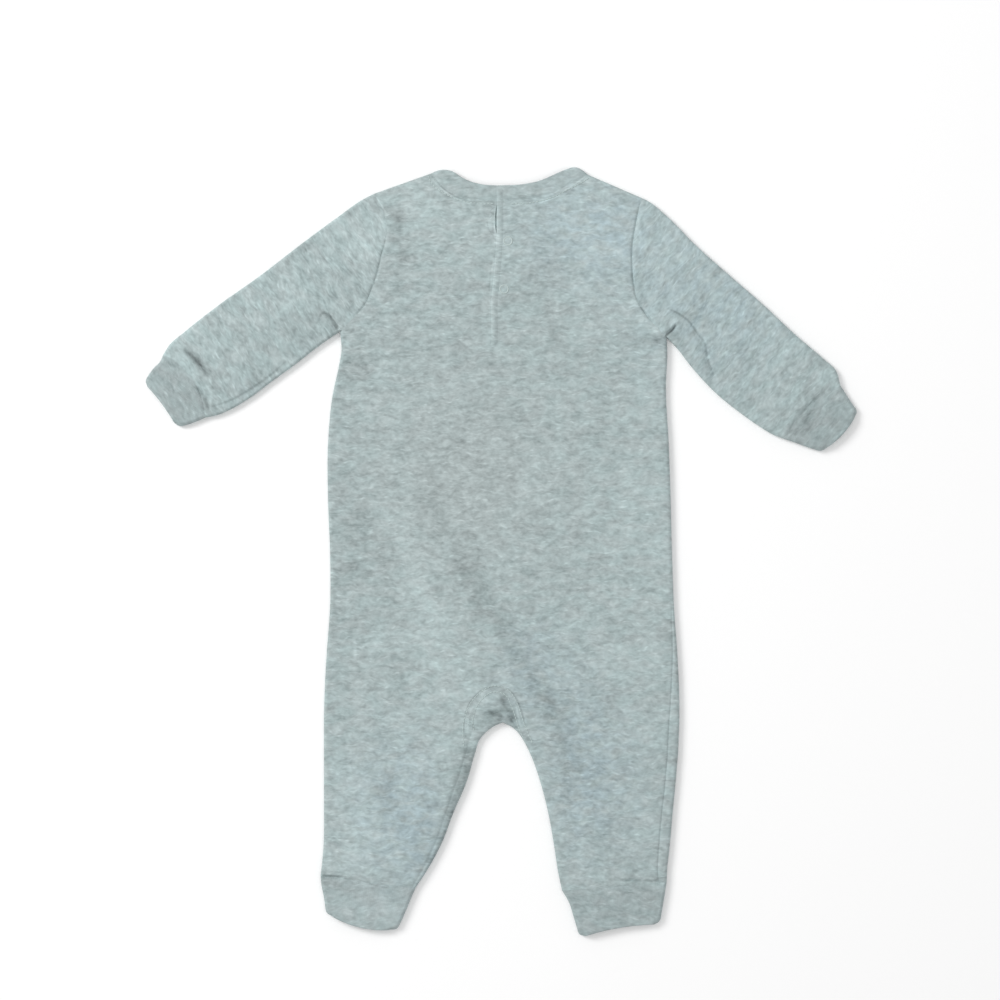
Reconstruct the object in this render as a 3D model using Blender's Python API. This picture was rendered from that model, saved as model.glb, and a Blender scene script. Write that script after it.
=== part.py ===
"""A baby's one-piece sleepsuit, laid flat on its front with its back up.

Every piece of cloth is a wall of its real thickness. The body is two layers, front under back, and the
front's cloth rolls round the outline up to the seams on the back. Sleeves and cuffs are flattened tubes.
The wearer's left is at -X, the neck at +Y, and the surface that the garment lies on is z = 0.
Tables and sizes are in millimetres.
"""
import math
from collections import namedtuple

import bmesh
import bpy
from mathutils import Vector

MM = 0.001

# Cloth and seams
CLOTH = 1.8                # brushed sweatshirt cloth
RIB = 2.0                  # rib of the neckband and cuffs, folded double
STRIP = 1.4                # the strip under the opening
SEAM_GAP = 0.3

# How the flattened tube lies: a round fold at its edge, then a low crown
FOLD_RADIUS = 2.4
CROWN = 2.2
CROWN_REACH = 35.0         # distance from the fold to the full crown
QUARTER = FOLD_RADIUS * math.pi / 2
SHOULDER_SEAM = math.radians(10)     # half the angle that the shoulder seam takes from its fold
FOLD_STEPS = (-QUARTER, -QUARTER / 2, 0.0, QUARTER / 2)
BACK_HEM = 3.0             # first step of the back's points in from its seam
SIDE_WRAP = 3.9            # cloth from the fold to a seam that lies at the garment's edge
FOLDED_CORNERS = len(FOLD_STEPS) + 1     # corners of a front row past its flat layer, at one end

# Opening at the centre back
OVERLAP_WIDTH = 4.0
OVERLAP_RISE = 0.5
UNDERLAP_INNER = 8.0       # how far the under strip reaches under the left back
UNDERLAP_OUTER = 12.0      # and under the right back
UNDERLAP_DROP = 0.5        # its distance below the back's underside
UNDERLAP_END = 150.0       # it ends below the opening
STRIP_LINE = [(-3.5, 271.8), (-3.5, 261.5), (-3.5, 239.0), (-4.5, 220.5), (-6.5, 198.0),
              (-7.5, 187.0), (-7.5, 172.0), (-7.5, 157.0)]

# Ring snaps
SNAP_DIAMETER = 7.0
SNAP_TUBE = 0.9
SNAP_LIFT = 0.3
SNAP_SIDES = 20
SNAP_PROFILE_SIDES = 6
SNAPS = {"snap_upper": (4.9, 230.6), "snap_lower": (2.0, 195.0)}

# Where the inner points of a row lie, as shares of its length
ROW_SHARES = (0.2, 0.5, 0.8)

# Finishes: heather grey-green-blue cloth, its rib a little darker, and snaps in the cloth's colour
BODY_COLOUR = (0.40, 0.48, 0.48)
SLEEVE_COLOUR = (0.42, 0.51, 0.50)
RIB_COLOUR = (0.37, 0.44, 0.44)
SNAP_COLOUR = (0.45, 0.52, 0.52)
CLOTH_ROUGHNESS = 0.95
SNAP_ROUGHNESS = 0.5
SHARP_ANGLE = math.radians(40)

# Rows above the armpit: end on the neck or opening (back, front), end on the armhole
YokeRow = namedtuple("YokeRow", "back_x back_y front_x front_y armhole_x armhole_y")
YOKE_LEFT = [
    YokeRow(-51.8, 281.2, -51.8, 281.2, -94.5, 266.0),
    YokeRow(-47.5, 273.5, -50.5, 270.0, -88.0, 254.5),
    YokeRow(-41.0, 269.0, -48.0, 258.0, -85.5, 245.0),
    YokeRow(-32.0, 264.5, -42.0, 246.0, -85.0, 236.5),
    YokeRow(-20.5, 262.0, -32.0, 236.0, -86.5, 228.0),
    YokeRow(-3.8, 261.5, -17.0, 228.5, -89.0, 219.0),
    YokeRow(-3.8, 239.0, 0.0, 226.0, -91.5, 208.0),
    YokeRow(-4.8, 220.5, 0.0, 214.0, -94.5, 199.0),
    YokeRow(-6.8, 198.0, 0.0, 198.0, -102.5, 181.5),
    YokeRow(-7.8, 187.0, 0.0, 187.0, -110.5, 173.0),
    YokeRow(-7.8, 172.0, 0.0, 172.0, -119.5, 164.0),
]
YOKE_RIGHT = [
    YokeRow(63.5, 280.5, 63.5, 280.5, 104.0, 263.0),
    YokeRow(55.5, 275.5, 61.0, 270.0, 101.0, 250.0),
    YokeRow(46.5, 271.0, 57.0, 259.0, 98.5, 237.0),
    YokeRow(36.5, 266.0, 49.0, 247.0, 97.0, 226.0),
    YokeRow(20.0, 262.0, 36.0, 236.0, 97.0, 213.0),
    YokeRow(0.8, 261.5, 18.0, 228.5, 98.0, 199.5),
    YokeRow(0.8, 239.0, 0.0, 226.0, 99.5, 191.0),
    YokeRow(-0.2, 220.5, 0.0, 214.0, 102.5, 184.0),
    YokeRow(-2.2, 198.0, 0.0, 198.0, 106.0, 178.0),
    YokeRow(-3.2, 187.0, 0.0, 187.0, 110.0, 173.0),
    YokeRow(-3.2, 172.0, 0.0, 172.0, 116.0, 166.0),
    YokeRow(-3.2, 156.5, 0.0, 156.5, 122.5, 159.5),
]

# Rows between the armpit and the crotch: centre line (back, front), side fold, seam's place behind it.
# A wrap is the distance along the cloth from the fold to the seam on the back.
TorsoRow = namedtuple("TorsoRow", "back_x back_y front_x front_y side_x side_y side_wrap")
TORSO_LEFT = [
    TorsoRow(-7.8, 156.5, 0.0, 156.5, -118.5, 150.0, SIDE_WRAP),
    TorsoRow(-7.5, 155.5, 0.0, 155.5, -120.5, 138.0, SIDE_WRAP),
    TorsoRow(-5.0, 120.0, 0.0, 120.0, -125.0, 117.0, SIDE_WRAP),
    TorsoRow(-3.0, 80.0, 0.0, 80.0, -128.5, 80.0, SIDE_WRAP),
    TorsoRow(-1.0, 40.0, 0.0, 40.0, -128.5, 40.0, SIDE_WRAP),
    TorsoRow(0.0, 0.0, 0.0, 0.0, -127.0, 0.0, SIDE_WRAP),
    TorsoRow(0.0, -40.0, 0.0, -40.0, -127.0, -40.0, SIDE_WRAP),
    TorsoRow(0.0, -75.0, 0.0, -75.0, -129.5, -75.0, SIDE_WRAP),
    TorsoRow(1.0, -100.0, 1.0, -100.0, -131.0, -103.0, SIDE_WRAP),
]
TORSO_RIGHT = [
    TorsoRow(-7.5, 155.5, 0.0, 155.5, 123.0, 147.0, SIDE_WRAP),
    TorsoRow(-5.0, 120.0, 0.0, 120.0, 122.0, 125.0, SIDE_WRAP),
    TorsoRow(-3.0, 80.0, 0.0, 80.0, 124.0, 82.0, SIDE_WRAP),
    TorsoRow(-1.0, 40.0, 0.0, 40.0, 125.5, 40.0, SIDE_WRAP),
    TorsoRow(0.0, 0.0, 0.0, 0.0, 126.5, 0.0, SIDE_WRAP),
    TorsoRow(0.0, -40.0, 0.0, -40.0, 128.0, -40.0, SIDE_WRAP),
    TorsoRow(0.0, -75.0, 0.0, -75.0, 130.5, -75.0, 4.8),
    TorsoRow(1.0, -100.0, 1.0, -100.0, 131.8, -103.0, 7.2),
]

# Rows of the legs, the first across the crotch: fold of the inner leg, fold of the side, both seams
LegRow = namedtuple("LegRow", "inner_x inner_y side_x side_y inner_wrap side_wrap")
LEG_LEFT = [
    LegRow(1.0, -126.0, -131.5, -123.0, 10.5, SIDE_WRAP),
    LegRow(-4.0, -128.0, -131.5, -136.0, 12.0, SIDE_WRAP),
    LegRow(-10.0, -132.0, -131.5, -148.0, 11.5, SIDE_WRAP),
    LegRow(-16.0, -138.5, -131.5, -159.0, 8.5, SIDE_WRAP),
    LegRow(-20.0, -150.5, -131.5, -172.0, 8.0, SIDE_WRAP),
    LegRow(-26.0, -170.5, -131.5, -188.0, 10.0, SIDE_WRAP),
    LegRow(-36.0, -194.0, -131.5, -205.0, 8.5, SIDE_WRAP),
    LegRow(-44.0, -215.0, -132.0, -220.0, 8.0, SIDE_WRAP),
    LegRow(-53.5, -233.0, -133.0, -231.0, 6.0, SIDE_WRAP),
    LegRow(-63.5, -248.5, -134.0, -239.5, SIDE_WRAP, SIDE_WRAP),
]
LEG_RIGHT = [
    LegRow(1.0, -126.0, 132.0, -124.0, 10.5, 8.8),
    LegRow(6.5, -128.5, 131.5, -137.0, 5.5, 9.0),
    LegRow(11.5, -132.5, 131.0, -149.0, SIDE_WRAP, 9.0),
    LegRow(16.5, -139.5, 130.0, -161.0, SIDE_WRAP, 9.0),
    LegRow(22.0, -150.5, 129.0, -173.0, SIDE_WRAP, 9.0),
    LegRow(29.5, -172.0, 127.5, -188.0, SIDE_WRAP, 9.2),
    LegRow(35.0, -194.0, 126.0, -205.0, SIDE_WRAP, 9.4),
    LegRow(39.0, -216.5, 124.5, -221.0, SIDE_WRAP, 9.2),
    LegRow(42.0, -236.0, 123.0, -234.0, SIDE_WRAP, 8.4),
    LegRow(45.0, -250.5, 122.5, -244.0, SIDE_WRAP, 7.2),
]

# Sections across a sleeve: upper fold, lower fold, share of the armhole's curve, bow of the section
SleeveRow = namedtuple("SleeveRow", "upper_x upper_y lower_x lower_y armhole bow")
SLEEVE_LEFT = [
    SleeveRow(-94.5, 266.0, -119.5, 164.0, 1.0, 0.0),
    SleeveRow(-104.0, 261.0, -125.5, 160.0, 0.8, 0.0),
    SleeveRow(-119.5, 250.0, -133.5, 154.5, 0.5, 0.0),
    SleeveRow(-150.0, 227.5, -153.5, 139.0, 0.2, 0.0),
    SleeveRow(-178.5, 205.5, -170.0, 127.0, 0.0, 0.5),
    SleeveRow(-209.5, 183.5, -186.0, 115.0, 0.0, 1.5),
    SleeveRow(-235.0, 163.5, -200.0, 106.5, 0.0, 3.5),
    SleeveRow(-246.0, 154.0, -210.5, 102.0, 0.0, 6.0),
    SleeveRow(-250.5, 147.0, -219.5, 100.0, 0.0, 8.0),
]
SLEEVE_RIGHT = [
    SleeveRow(104.0, 263.0, 122.5, 159.5, 1.0, 0.0),
    SleeveRow(109.0, 260.5, 126.5, 155.5, 0.8, 0.0),
    SleeveRow(122.0, 250.0, 131.5, 150.0, 0.5, 0.0),
    SleeveRow(144.5, 227.5, 139.5, 139.5, 0.2, 0.0),
    SleeveRow(167.5, 207.0, 149.0, 128.5, 0.0, 0.5),
    SleeveRow(194.5, 183.5, 161.0, 116.5, 0.0, 1.0),
    SleeveRow(218.5, 161.0, 176.0, 104.5, 0.0, 2.0),
    SleeveRow(238.5, 144.0, 190.0, 94.5, 0.0, 3.5),
    SleeveRow(248.0, 135.0, 201.5, 87.5, 0.0, 5.0),
    SleeveRow(251.5, 123.5, 210.5, 84.0, 0.0, 6.0),
]

# Sections across a cuff, from its seam to its hem: the two folds, and the bow of the section
CuffRow = namedtuple("CuffRow", "upper_x upper_y lower_x lower_y bow")
WRIST_CUFF_LEFT = [
    CuffRow(-250.5, 147.0, -219.5, 100.0, 8.0),
    CuffRow(-253.0, 141.5, -225.0, 97.7, 5.0),
    CuffRow(-257.5, 137.0, -231.5, 95.2, 3.0),
    CuffRow(-265.0, 126.5, -240.0, 93.0, 1.0),
]
WRIST_CUFF_RIGHT = [
    CuffRow(251.5, 123.5, 210.5, 84.0, 6.0),
    CuffRow(255.5, 117.5, 218.0, 81.5, 3.0),
    CuffRow(260.0, 110.5, 227.5, 78.0, 0.5),
    CuffRow(265.0, 104.0, 238.5, 74.5, -2.0),
]
ANKLE_CUFF_LEFT = [
    CuffRow(-134.0, -239.5, -63.5, -248.5, 0.0),
    CuffRow(-133.5, -245.5, -66.0, -254.0, -1.0),
    CuffRow(-131.5, -256.0, -71.0, -266.0, -2.0),
    CuffRow(-130.0, -268.5, -77.5, -280.5, -3.5),
]
ANKLE_CUFF_RIGHT = [
    CuffRow(45.0, -250.5, 122.5, -244.0, 0.0),
    CuffRow(50.0, -259.0, 121.5, -251.0, 1.0),
    CuffRow(54.0, -271.5, 119.5, -263.0, 1.5),
    CuffRow(58.0, -285.0, 117.5, -275.0, 2.0),
]

# Free edge of the neckband, matched to the yoke's rows, and the folds at the two shoulders
BandRow = namedtuple("BandRow", "back_x back_y front_x front_y")
BAND_EDGE_LEFT = [
    BandRow(-36.5, 283.0, -36.5, 283.0),
    BandRow(-33.5, 281.0, -38.5, 271.0),
    BandRow(-29.5, 278.2, -37.0, 261.5),
    BandRow(-23.5, 275.3, -33.0, 252.5),
    BandRow(-15.0, 273.0, -25.0, 244.5),
    BandRow(-3.8, 272.0, -13.5, 239.0),
]
BAND_EDGE_RIGHT = [
    BandRow(49.0, 284.0, 49.0, 284.0),
    BandRow(43.0, 281.2, 49.5, 272.0),
    BandRow(36.5, 278.5, 46.5, 262.0),
    BandRow(28.0, 275.5, 40.0, 252.5),
    BandRow(16.0, 273.0, 29.0, 244.5),
    BandRow(0.8, 272.0, 14.5, 239.0),
]
BAND_FRONT_CENTRE = ((0.0, 226.0), (0.0, 237.0))
BAND_FOLD_LEFT = (-44.5, 283.8)
BAND_FOLD_RIGHT = (55.5, 285.0)
NECK_FOLD_LEFT = Vector((0.30, -0.95)).normalized()      # into the cloth, square to the fold
NECK_FOLD_RIGHT = Vector((-0.25, -0.97)).normalized()
CROTCH_FOLD = Vector((0.0, 1.0))
UP_THE_LEG = Vector((0.0, 1.0))

LEFT = -1
RIGHT = 1


# ---------------------------------------------------------------- outline and height
def outline_of_side(yoke, torso, leg, sleeve, wrist, ankle, side):
    """The garment's outline down one side, from the shoulder at the neck to the crotch."""
    points = [(yoke[0].back_x, yoke[0].back_y)]
    points += [(row.upper_x, row.upper_y) for row in sleeve + wrist[1:]]
    points += [(row.lower_x, row.lower_y) for row in reversed(sleeve + wrist[1:])]
    points += [(row.side_x, row.side_y) for row in torso + leg]
    outer = [(row.upper_x, row.upper_y) for row in ankle[1:]]
    inner = [(row.lower_x, row.lower_y) for row in ankle[1:]]
    if side == RIGHT:
        outer, inner = inner, outer
    points += outer + inner[::-1]
    points += [(row.inner_x, row.inner_y) for row in reversed(leg)]
    return points


def garment_outline():
    """The closed outline of the whole garment, as segments."""
    left = outline_of_side(YOKE_LEFT, TORSO_LEFT, LEG_LEFT, SLEEVE_LEFT, WRIST_CUFF_LEFT,
                           ANKLE_CUFF_LEFT, LEFT)
    right = outline_of_side(YOKE_RIGHT, TORSO_RIGHT, LEG_RIGHT, SLEEVE_RIGHT, WRIST_CUFF_RIGHT,
                            ANKLE_CUFF_RIGHT, RIGHT)
    neck = [BAND_FOLD_RIGHT] + [(row.back_x, row.back_y) for row in BAND_EDGE_RIGHT]
    neck += [(row.back_x, row.back_y) for row in reversed(BAND_EDGE_LEFT)] + [BAND_FOLD_LEFT]
    loop = [Vector(point) for point in left + right[::-1] + neck]
    return list(zip(loop, loop[1:] + loop[:1]))


OUTLINE = garment_outline()


def distance_to_outline(point):
    """Shortest distance from a place to the garment's outline."""
    nearest = CROWN_REACH * 2
    for start, end in OUTLINE:
        run = end - start
        if run.length_squared == 0.0:
            continue
        share = max(0.0, min(1.0, (point - start).dot(run) / run.length_squared))
        nearest = min(nearest, (start + run * share - point).length)
    return nearest


def top_height(point):
    """Height of the garment's upper face: the fold's own height, and a crown away from the fold."""
    share = max(0.0, min(1.0, (distance_to_outline(point) - FOLD_RADIUS) / CROWN_REACH))
    return 2 * FOLD_RADIUS + CROWN * share * (2 - share)


# ---------------------------------------------------------------- points of the cloth: outer and inner face
def upper_point(place, wall):
    """A point of the upper layer: outer face on top, inner face one wall below."""
    height = top_height(place)
    return (Vector((place.x, place.y, height)), Vector((place.x, place.y, height - wall)))


def lower_point(place, wall):
    """A point of the lower layer, which lies on the surface."""
    return (Vector((place.x, place.y, 0.0)), Vector((place.x, place.y, wall)))


def fold_point(edge, inward, along, wall):
    """A point of the cloth near a fold, so far along the cloth from the fold's middle, upwards positive."""
    if abs(along) > QUARTER:
        place = edge + inward * (FOLD_RADIUS + abs(along) - QUARTER)
        return upper_point(place, wall) if along > 0 else lower_point(place, wall)
    angle = along / FOLD_RADIUS
    pair = []
    for radius in (FOLD_RADIUS, FOLD_RADIUS - wall):
        place = edge + inward * (FOLD_RADIUS - radius * math.cos(angle))
        pair.append(Vector((place.x, place.y, FOLD_RADIUS + radius * math.sin(angle))))
    return tuple(pair)


# ---------------------------------------------------------------- meshes
def cloth_object(name, cells, colour):
    """A closed wall from four-cornered cells; each corner is a pair, outer face and inner face."""
    mesh_data = bmesh.new()
    corners = {}
    uses = {}

    def corner(pair):
        key = tuple(round(value, 4) for value in pair[0])
        if key not in corners:
            corners[key] = tuple(mesh_data.verts.new(point * MM) for point in pair)
        return key

    for cell in cells:
        keys = [corner(pair) for pair in cell]
        if len(set(keys)) < 4:
            continue
        mesh_data.faces.new([corners[key][0] for key in keys])
        mesh_data.faces.new([corners[key][1] for key in reversed(keys)])
        for start, end in zip(keys, keys[1:] + keys[:1]):
            uses.setdefault(frozenset((start, end)), []).append((start, end))
    for directions in uses.values():
        if len(directions) == 1:
            start, end = directions[0]
            mesh_data.faces.new([corners[end][0], corners[start][0], corners[start][1], corners[end][1]])
    bmesh.ops.recalc_face_normals(mesh_data, faces=mesh_data.faces)
    return finished_object(name, mesh_data, colour, CLOTH_ROUGHNESS)


def finished_object(name, mesh_data, colour, roughness):
    """A named object with its own material."""
    mesh = bpy.data.meshes.new(name)
    mesh_data.to_mesh(mesh)
    mesh_data.free()
    mesh.shade_smooth()
    mesh.set_sharp_from_angle(angle=SHARP_ANGLE)
    material = bpy.data.materials.new(name)
    material.use_nodes = True
    shader = material.node_tree.nodes["Principled BSDF"]
    shader.inputs["Base Color"].default_value = (*colour, 1.0)
    shader.inputs["Roughness"].default_value = roughness
    shader.inputs["Metallic"].default_value = 0.0
    mesh.materials.append(material)
    piece = bpy.data.objects.new(name, mesh)
    bpy.context.scene.collection.objects.link(piece)
    return piece


def cells_between(first, second):
    """Cells between two rows of corners; a row is a list with None where it has no corner."""
    cells = []
    for index in range(len(first) - 1):
        cell = [first[index], first[index + 1], second[index + 1], second[index]]
        if all(cell):
            cells.append(cell)
    return cells


def cells_of(rows):
    """Cells of a whole sheet or tube, row by row."""
    cells = []
    for first, second in zip(rows, rows[1:]):
        cells += cells_between(first, second)
    return cells


# ---------------------------------------------------------------- body: front and back
BodyRow = namedtuple("BodyRow", "inner outer inner_into outer_into inner_wrap outer_wrap")


def square_to(points, index, turn):
    """Unit vector square to a chain of places, turned to the cloth's side."""
    before = points[max(index - 1, 0)]
    after = points[min(index + 1, len(points) - 1)]
    run = (after - before).normalized()
    return Vector((run.y, -run.x)) * turn


def body_rows(yoke, torso, leg, side, layer):
    """Rows of one half of a layer, from the row below the shoulder fold to the ankle."""
    inner_yoke = [Vector((getattr(row, layer + "_x"), getattr(row, layer + "_y"))) for row in yoke]
    armhole = [Vector((row.armhole_x, row.armhole_y)) for row in yoke]
    rows = [BodyRow(inner, outer, None, None, None, None)
            for inner, outer in zip(inner_yoke[1:-1], armhole[1:-1])]

    torso_sides = [Vector((row.side_x, row.side_y)) for row in torso]
    leg_sides = [Vector((row.side_x, row.side_y)) for row in leg]
    side_chain = [armhole[-1]] + torso_sides + leg_sides
    armpit_into = (armhole[-2] - armhole[-1]).normalized()
    rows.append(BodyRow(inner_yoke[-1], armhole[-1], None, armpit_into, None, torso[0].side_wrap))
    for index, row in enumerate(torso):
        inner = Vector((getattr(row, layer + "_x"), getattr(row, layer + "_y")))
        into = square_to(side_chain, index + 1, side)
        rows.append(BodyRow(inner, torso_sides[index], None, into, None, row.side_wrap))

    inner_chain = [Vector((row.inner_x, row.inner_y)) for row in leg]
    for index, row in enumerate(leg):
        inner = inner_chain[index]
        outer = leg_sides[index]
        inner_into = square_to(inner_chain, index, -side)
        outer_into = square_to(side_chain, index + 1 + len(torso), side)
        if index == 0:
            inner_into = CROTCH_FOLD
        if index == len(leg) - 1:
            inner_into = (outer - inner).normalized()
            outer_into = -inner_into
        rows.append(BodyRow(inner, outer, inner_into, outer_into, row.inner_wrap, row.side_wrap))
    return rows


def shoulder_places(yoke, neck_into):
    """Places on the shoulder fold, from the neck to the tip, with the direction into the cloth."""
    neck = Vector((yoke[0].back_x, yoke[0].back_y))
    tip = Vector((yoke[0].armhole_x, yoke[0].armhole_y))
    below_tip = Vector((yoke[1].armhole_x, yoke[1].armhole_y))
    tip_into = (below_tip - tip).normalized()
    shares = (0.0,) + ROW_SHARES + (1.0,)
    return [(neck.lerp(tip, share), neck_into.lerp(tip_into, share).normalized()) for share in shares]


def front_row(row):
    """Corners of the front in one row: inner leg's seam and fold, flat layer, side's fold and seam."""
    corners = []
    for edge, into, wrap in ((row.inner, row.inner_into, row.inner_wrap),
                             (row.outer, row.outer_into, row.outer_wrap)):
        if wrap is None:
            folded = [None] * FOLDED_CORNERS + [lower_point(edge, CLOTH)]
        else:
            steps = (wrap, (wrap + FOLD_STEPS[-1]) / 2) + FOLD_STEPS[::-1]
            folded = [fold_point(edge, into, along, CLOTH) for along in steps]
        corners.append(folded)
    start, end = (corner[-1][0].xy for corner in corners)
    middle = [lower_point(start.lerp(end, share), CLOTH) for share in ROW_SHARES]
    return corners[0] + middle + corners[1][::-1]


def back_row(row):
    """Corners of the back in one row, which lies between the seams."""
    corners = []
    for edge, into, wrap in ((row.inner, row.inner_into, row.inner_wrap),
                             (row.outer, row.outer_into, row.outer_wrap)):
        if wrap is None:
            ends = [None, upper_point(edge, CLOTH)]
        else:
            seam = wrap + SEAM_GAP
            ends = [fold_point(edge, into, seam + step, CLOTH) for step in (0.0, BACK_HEM)]
        corners.append(ends)
    start, end = (corner[-1][0].xy for corner in corners)
    middle = [upper_point(start.lerp(end, share), CLOTH) for share in ROW_SHARES]
    return corners[0] + middle + corners[1][::-1]


def front_half(yoke, torso, leg, side, neck_into):
    """All cells of one half of the front."""
    places = shoulder_places(yoke, neck_into)
    shoulder = []
    for angle in (-SHOULDER_SEAM * FOLD_RADIUS, -QUARTER / 2, -QUARTER):
        corners = [fold_point(edge, into, angle, CLOTH) for edge, into in places]
        empty = [None] * FOLDED_CORNERS
        shoulder.append(empty + corners + empty)
    rows = body_rows(yoke, torso, leg, side, "front")
    return cells_of(shoulder + [front_row(row) for row in rows])


def back_half(yoke, torso, leg, side, neck_into):
    """All cells of one half of the back."""
    places = shoulder_places(yoke, neck_into)
    shoulder = []
    for angle in (SHOULDER_SEAM * FOLD_RADIUS, QUARTER / 2, QUARTER):
        corners = [fold_point(edge, into, angle, CLOTH) for edge, into in places]
        shoulder.append([None] + corners + [None])
    rows = body_rows(yoke, torso, leg, side, "back")
    return cells_of(shoulder + [back_row(row) for row in rows])


# ---------------------------------------------------------------- tubes: sleeves and cuffs
def shifted(points, distance):
    """A chain of places moved sideways, for the seam's gap."""
    moved = []
    for index, point in enumerate(points):
        moved.append(point + square_to(points, index, 1) * distance)
    return moved


def tube_ring(chain, wall):
    """Closed ring of corners round a flattened tube whose section follows a chain from fold to fold."""
    first_into = (chain[1] - chain[0]).normalized()
    last_into = (chain[-2] - chain[-1]).normalized()
    middle = chain[1:-1]
    ring = [fold_point(chain[0], first_into, along, wall) for along in FOLD_STEPS + (QUARTER,)]
    ring += [upper_point(place, wall) for place in middle]
    ring += [fold_point(chain[-1], last_into, along, wall) for along in (QUARTER,) + FOLD_STEPS[::-1]]
    ring += [lower_point(place, wall) for place in reversed(middle)]
    return ring + ring[:1]


def bowed(start, end, shares, bow, towards):
    """A chain from start to end that bows towards a direction by so many millimetres at its middle."""
    chain = []
    for share in shares:
        chain.append(start.lerp(end, share) + towards * (bow * 4 * share * (1 - share)))
    return chain


def towards_body(upper, lower):
    """Unit vector square to a sleeve's section, on the body's side."""
    along = (lower - upper).normalized()
    return Vector((-along.y, along.x)) if upper.x < 0 else Vector((along.y, -along.x))


def sleeve_chains(yoke, sleeve):
    """Section chains of a sleeve: first the armhole's curve, then sections with less of it and more bow."""
    armhole = [Vector((row.armhole_x, row.armhole_y)) for row in yoke]
    run = armhole[-1] - armhole[0]
    shares = [(place - armhole[0]).dot(run) / run.length_squared for place in armhole]
    bends = [place - armhole[0].lerp(armhole[-1], share) for place, share in zip(armhole, shares)]
    chains = []
    for row in sleeve:
        upper = Vector((row.upper_x, row.upper_y))
        lower = Vector((row.lower_x, row.lower_y))
        chain = bowed(upper, lower, shares, row.bow, towards_body(upper, lower))
        chains.append([place + bend * row.armhole for place, bend in zip(chain, bends)])
    return chains, shares


def sleeve_object(name, yoke, sleeve, side, colour):
    """A sleeve, a flattened tube from the armhole to the cuff's seam."""
    chains, _ = sleeve_chains(yoke, sleeve)
    chains[0] = shifted(chains[0], side * -SEAM_GAP)
    return cloth_object(name, cells_of([tube_ring(chain, CLOTH) for chain in chains]), colour)


def wrist_cuff_object(name, yoke, sleeve, cuff, side, colour):
    """A wrist cuff, matched to the sleeve's points at its seam."""
    _, shares = sleeve_chains(yoke, sleeve)
    chains = []
    for row in cuff:
        upper = Vector((row.upper_x, row.upper_y))
        lower = Vector((row.lower_x, row.lower_y))
        chains.append(bowed(upper, lower, shares, row.bow, towards_body(upper, lower)))
    chains[0] = shifted(chains[0], side * -SEAM_GAP)
    return cloth_object(name, cells_of([tube_ring(chain, RIB) for chain in chains]), colour)


def ankle_cuff_object(name, cuff, colour):
    """An ankle cuff below its leg."""
    shares = (0.0,) + ROW_SHARES + (1.0,)
    chains = []
    for row in cuff:
        upper = Vector((row.upper_x, row.upper_y))
        lower = Vector((row.lower_x, row.lower_y))
        chains.append(bowed(upper, lower, shares, row.bow, UP_THE_LEG))
    chains[0] = shifted(chains[0], SEAM_GAP)
    return cloth_object(name, cells_of([tube_ring(chain, RIB) for chain in chains]), colour)


# ---------------------------------------------------------------- neckband, opening and snaps
def neckband_object(name, colour):
    """The rib band round the neck, from the right of the opening round the front to the left of it."""
    def places(yoke, edge, layer):
        matched = yoke[:len(edge)]
        seam = [Vector((getattr(row, layer + "_x"), getattr(row, layer + "_y"))) for row in matched]
        free = [Vector((getattr(row, layer + "_x"), getattr(row, layer + "_y"))) for row in edge]
        return list(zip(seam, free))

    def across(seam, free, middle=None):
        step = (free - seam).normalized() * SEAM_GAP
        return (seam + step, middle or (seam + free) / 2, free)

    stations = []
    for seam, free in reversed(places(YOKE_RIGHT, BAND_EDGE_RIGHT, "back")[1:]):
        stations.append([upper_point(place, RIB) for place in across(seam, free)])
    seam, free = places(YOKE_RIGHT, BAND_EDGE_RIGHT, "back")[0]
    for along in (QUARTER,) + FOLD_STEPS[::-1]:
        stations.append([fold_point(place, NECK_FOLD_RIGHT, along, RIB)
                         for place in across(seam, free, Vector(BAND_FOLD_RIGHT))])
    front = places(YOKE_RIGHT, BAND_EDGE_RIGHT, "front")[1:]
    front.append(tuple(Vector(place) for place in BAND_FRONT_CENTRE))
    front += reversed(places(YOKE_LEFT, BAND_EDGE_LEFT, "front")[1:])
    for seam, free in front:
        stations.append([lower_point(place, RIB) for place in across(seam, free)])
    seam, free = places(YOKE_LEFT, BAND_EDGE_LEFT, "back")[0]
    for along in FOLD_STEPS + (QUARTER,):
        stations.append([fold_point(place, NECK_FOLD_LEFT, along, RIB)
                         for place in across(seam, free, Vector(BAND_FOLD_LEFT))])
    for seam, free in places(YOKE_LEFT, BAND_EDGE_LEFT, "back")[1:]:
        stations.append([upper_point(place, RIB) for place in across(seam, free)])
    return cloth_object(name, cells_of(stations), colour)


def overlap_object(name, colour):
    """The folded strip on the right edge of the opening, a little proud of the back."""
    rows = []
    for x, y in STRIP_LINE:
        row = []
        for share, rise in ((0.0, 0.0), (0.5, OVERLAP_RISE), (1.0, 0.0)):
            outer, _ = upper_point(Vector((x + OVERLAP_WIDTH * share, y)), CLOTH)
            outer.z += rise
            row.append((outer, outer - Vector((0.0, 0.0, CLOTH))))
        rows.append(row)
    return cloth_object(name, cells_of(rows), colour)


def underlap_object(name, colour):
    """The strip that closes the opening from below."""
    rows = []
    for x, y in STRIP_LINE[:-1] + [(STRIP_LINE[-1][0], UNDERLAP_END)]:
        row = []
        for offset in (-UNDERLAP_INNER, 0.0, UNDERLAP_OUTER):
            _, outer = upper_point(Vector((x + offset, y)), CLOTH + UNDERLAP_DROP)
            row.append((outer, outer - Vector((0.0, 0.0, STRIP))))
        rows.append(row)
    return cloth_object(name, cells_of(rows), colour)


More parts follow.
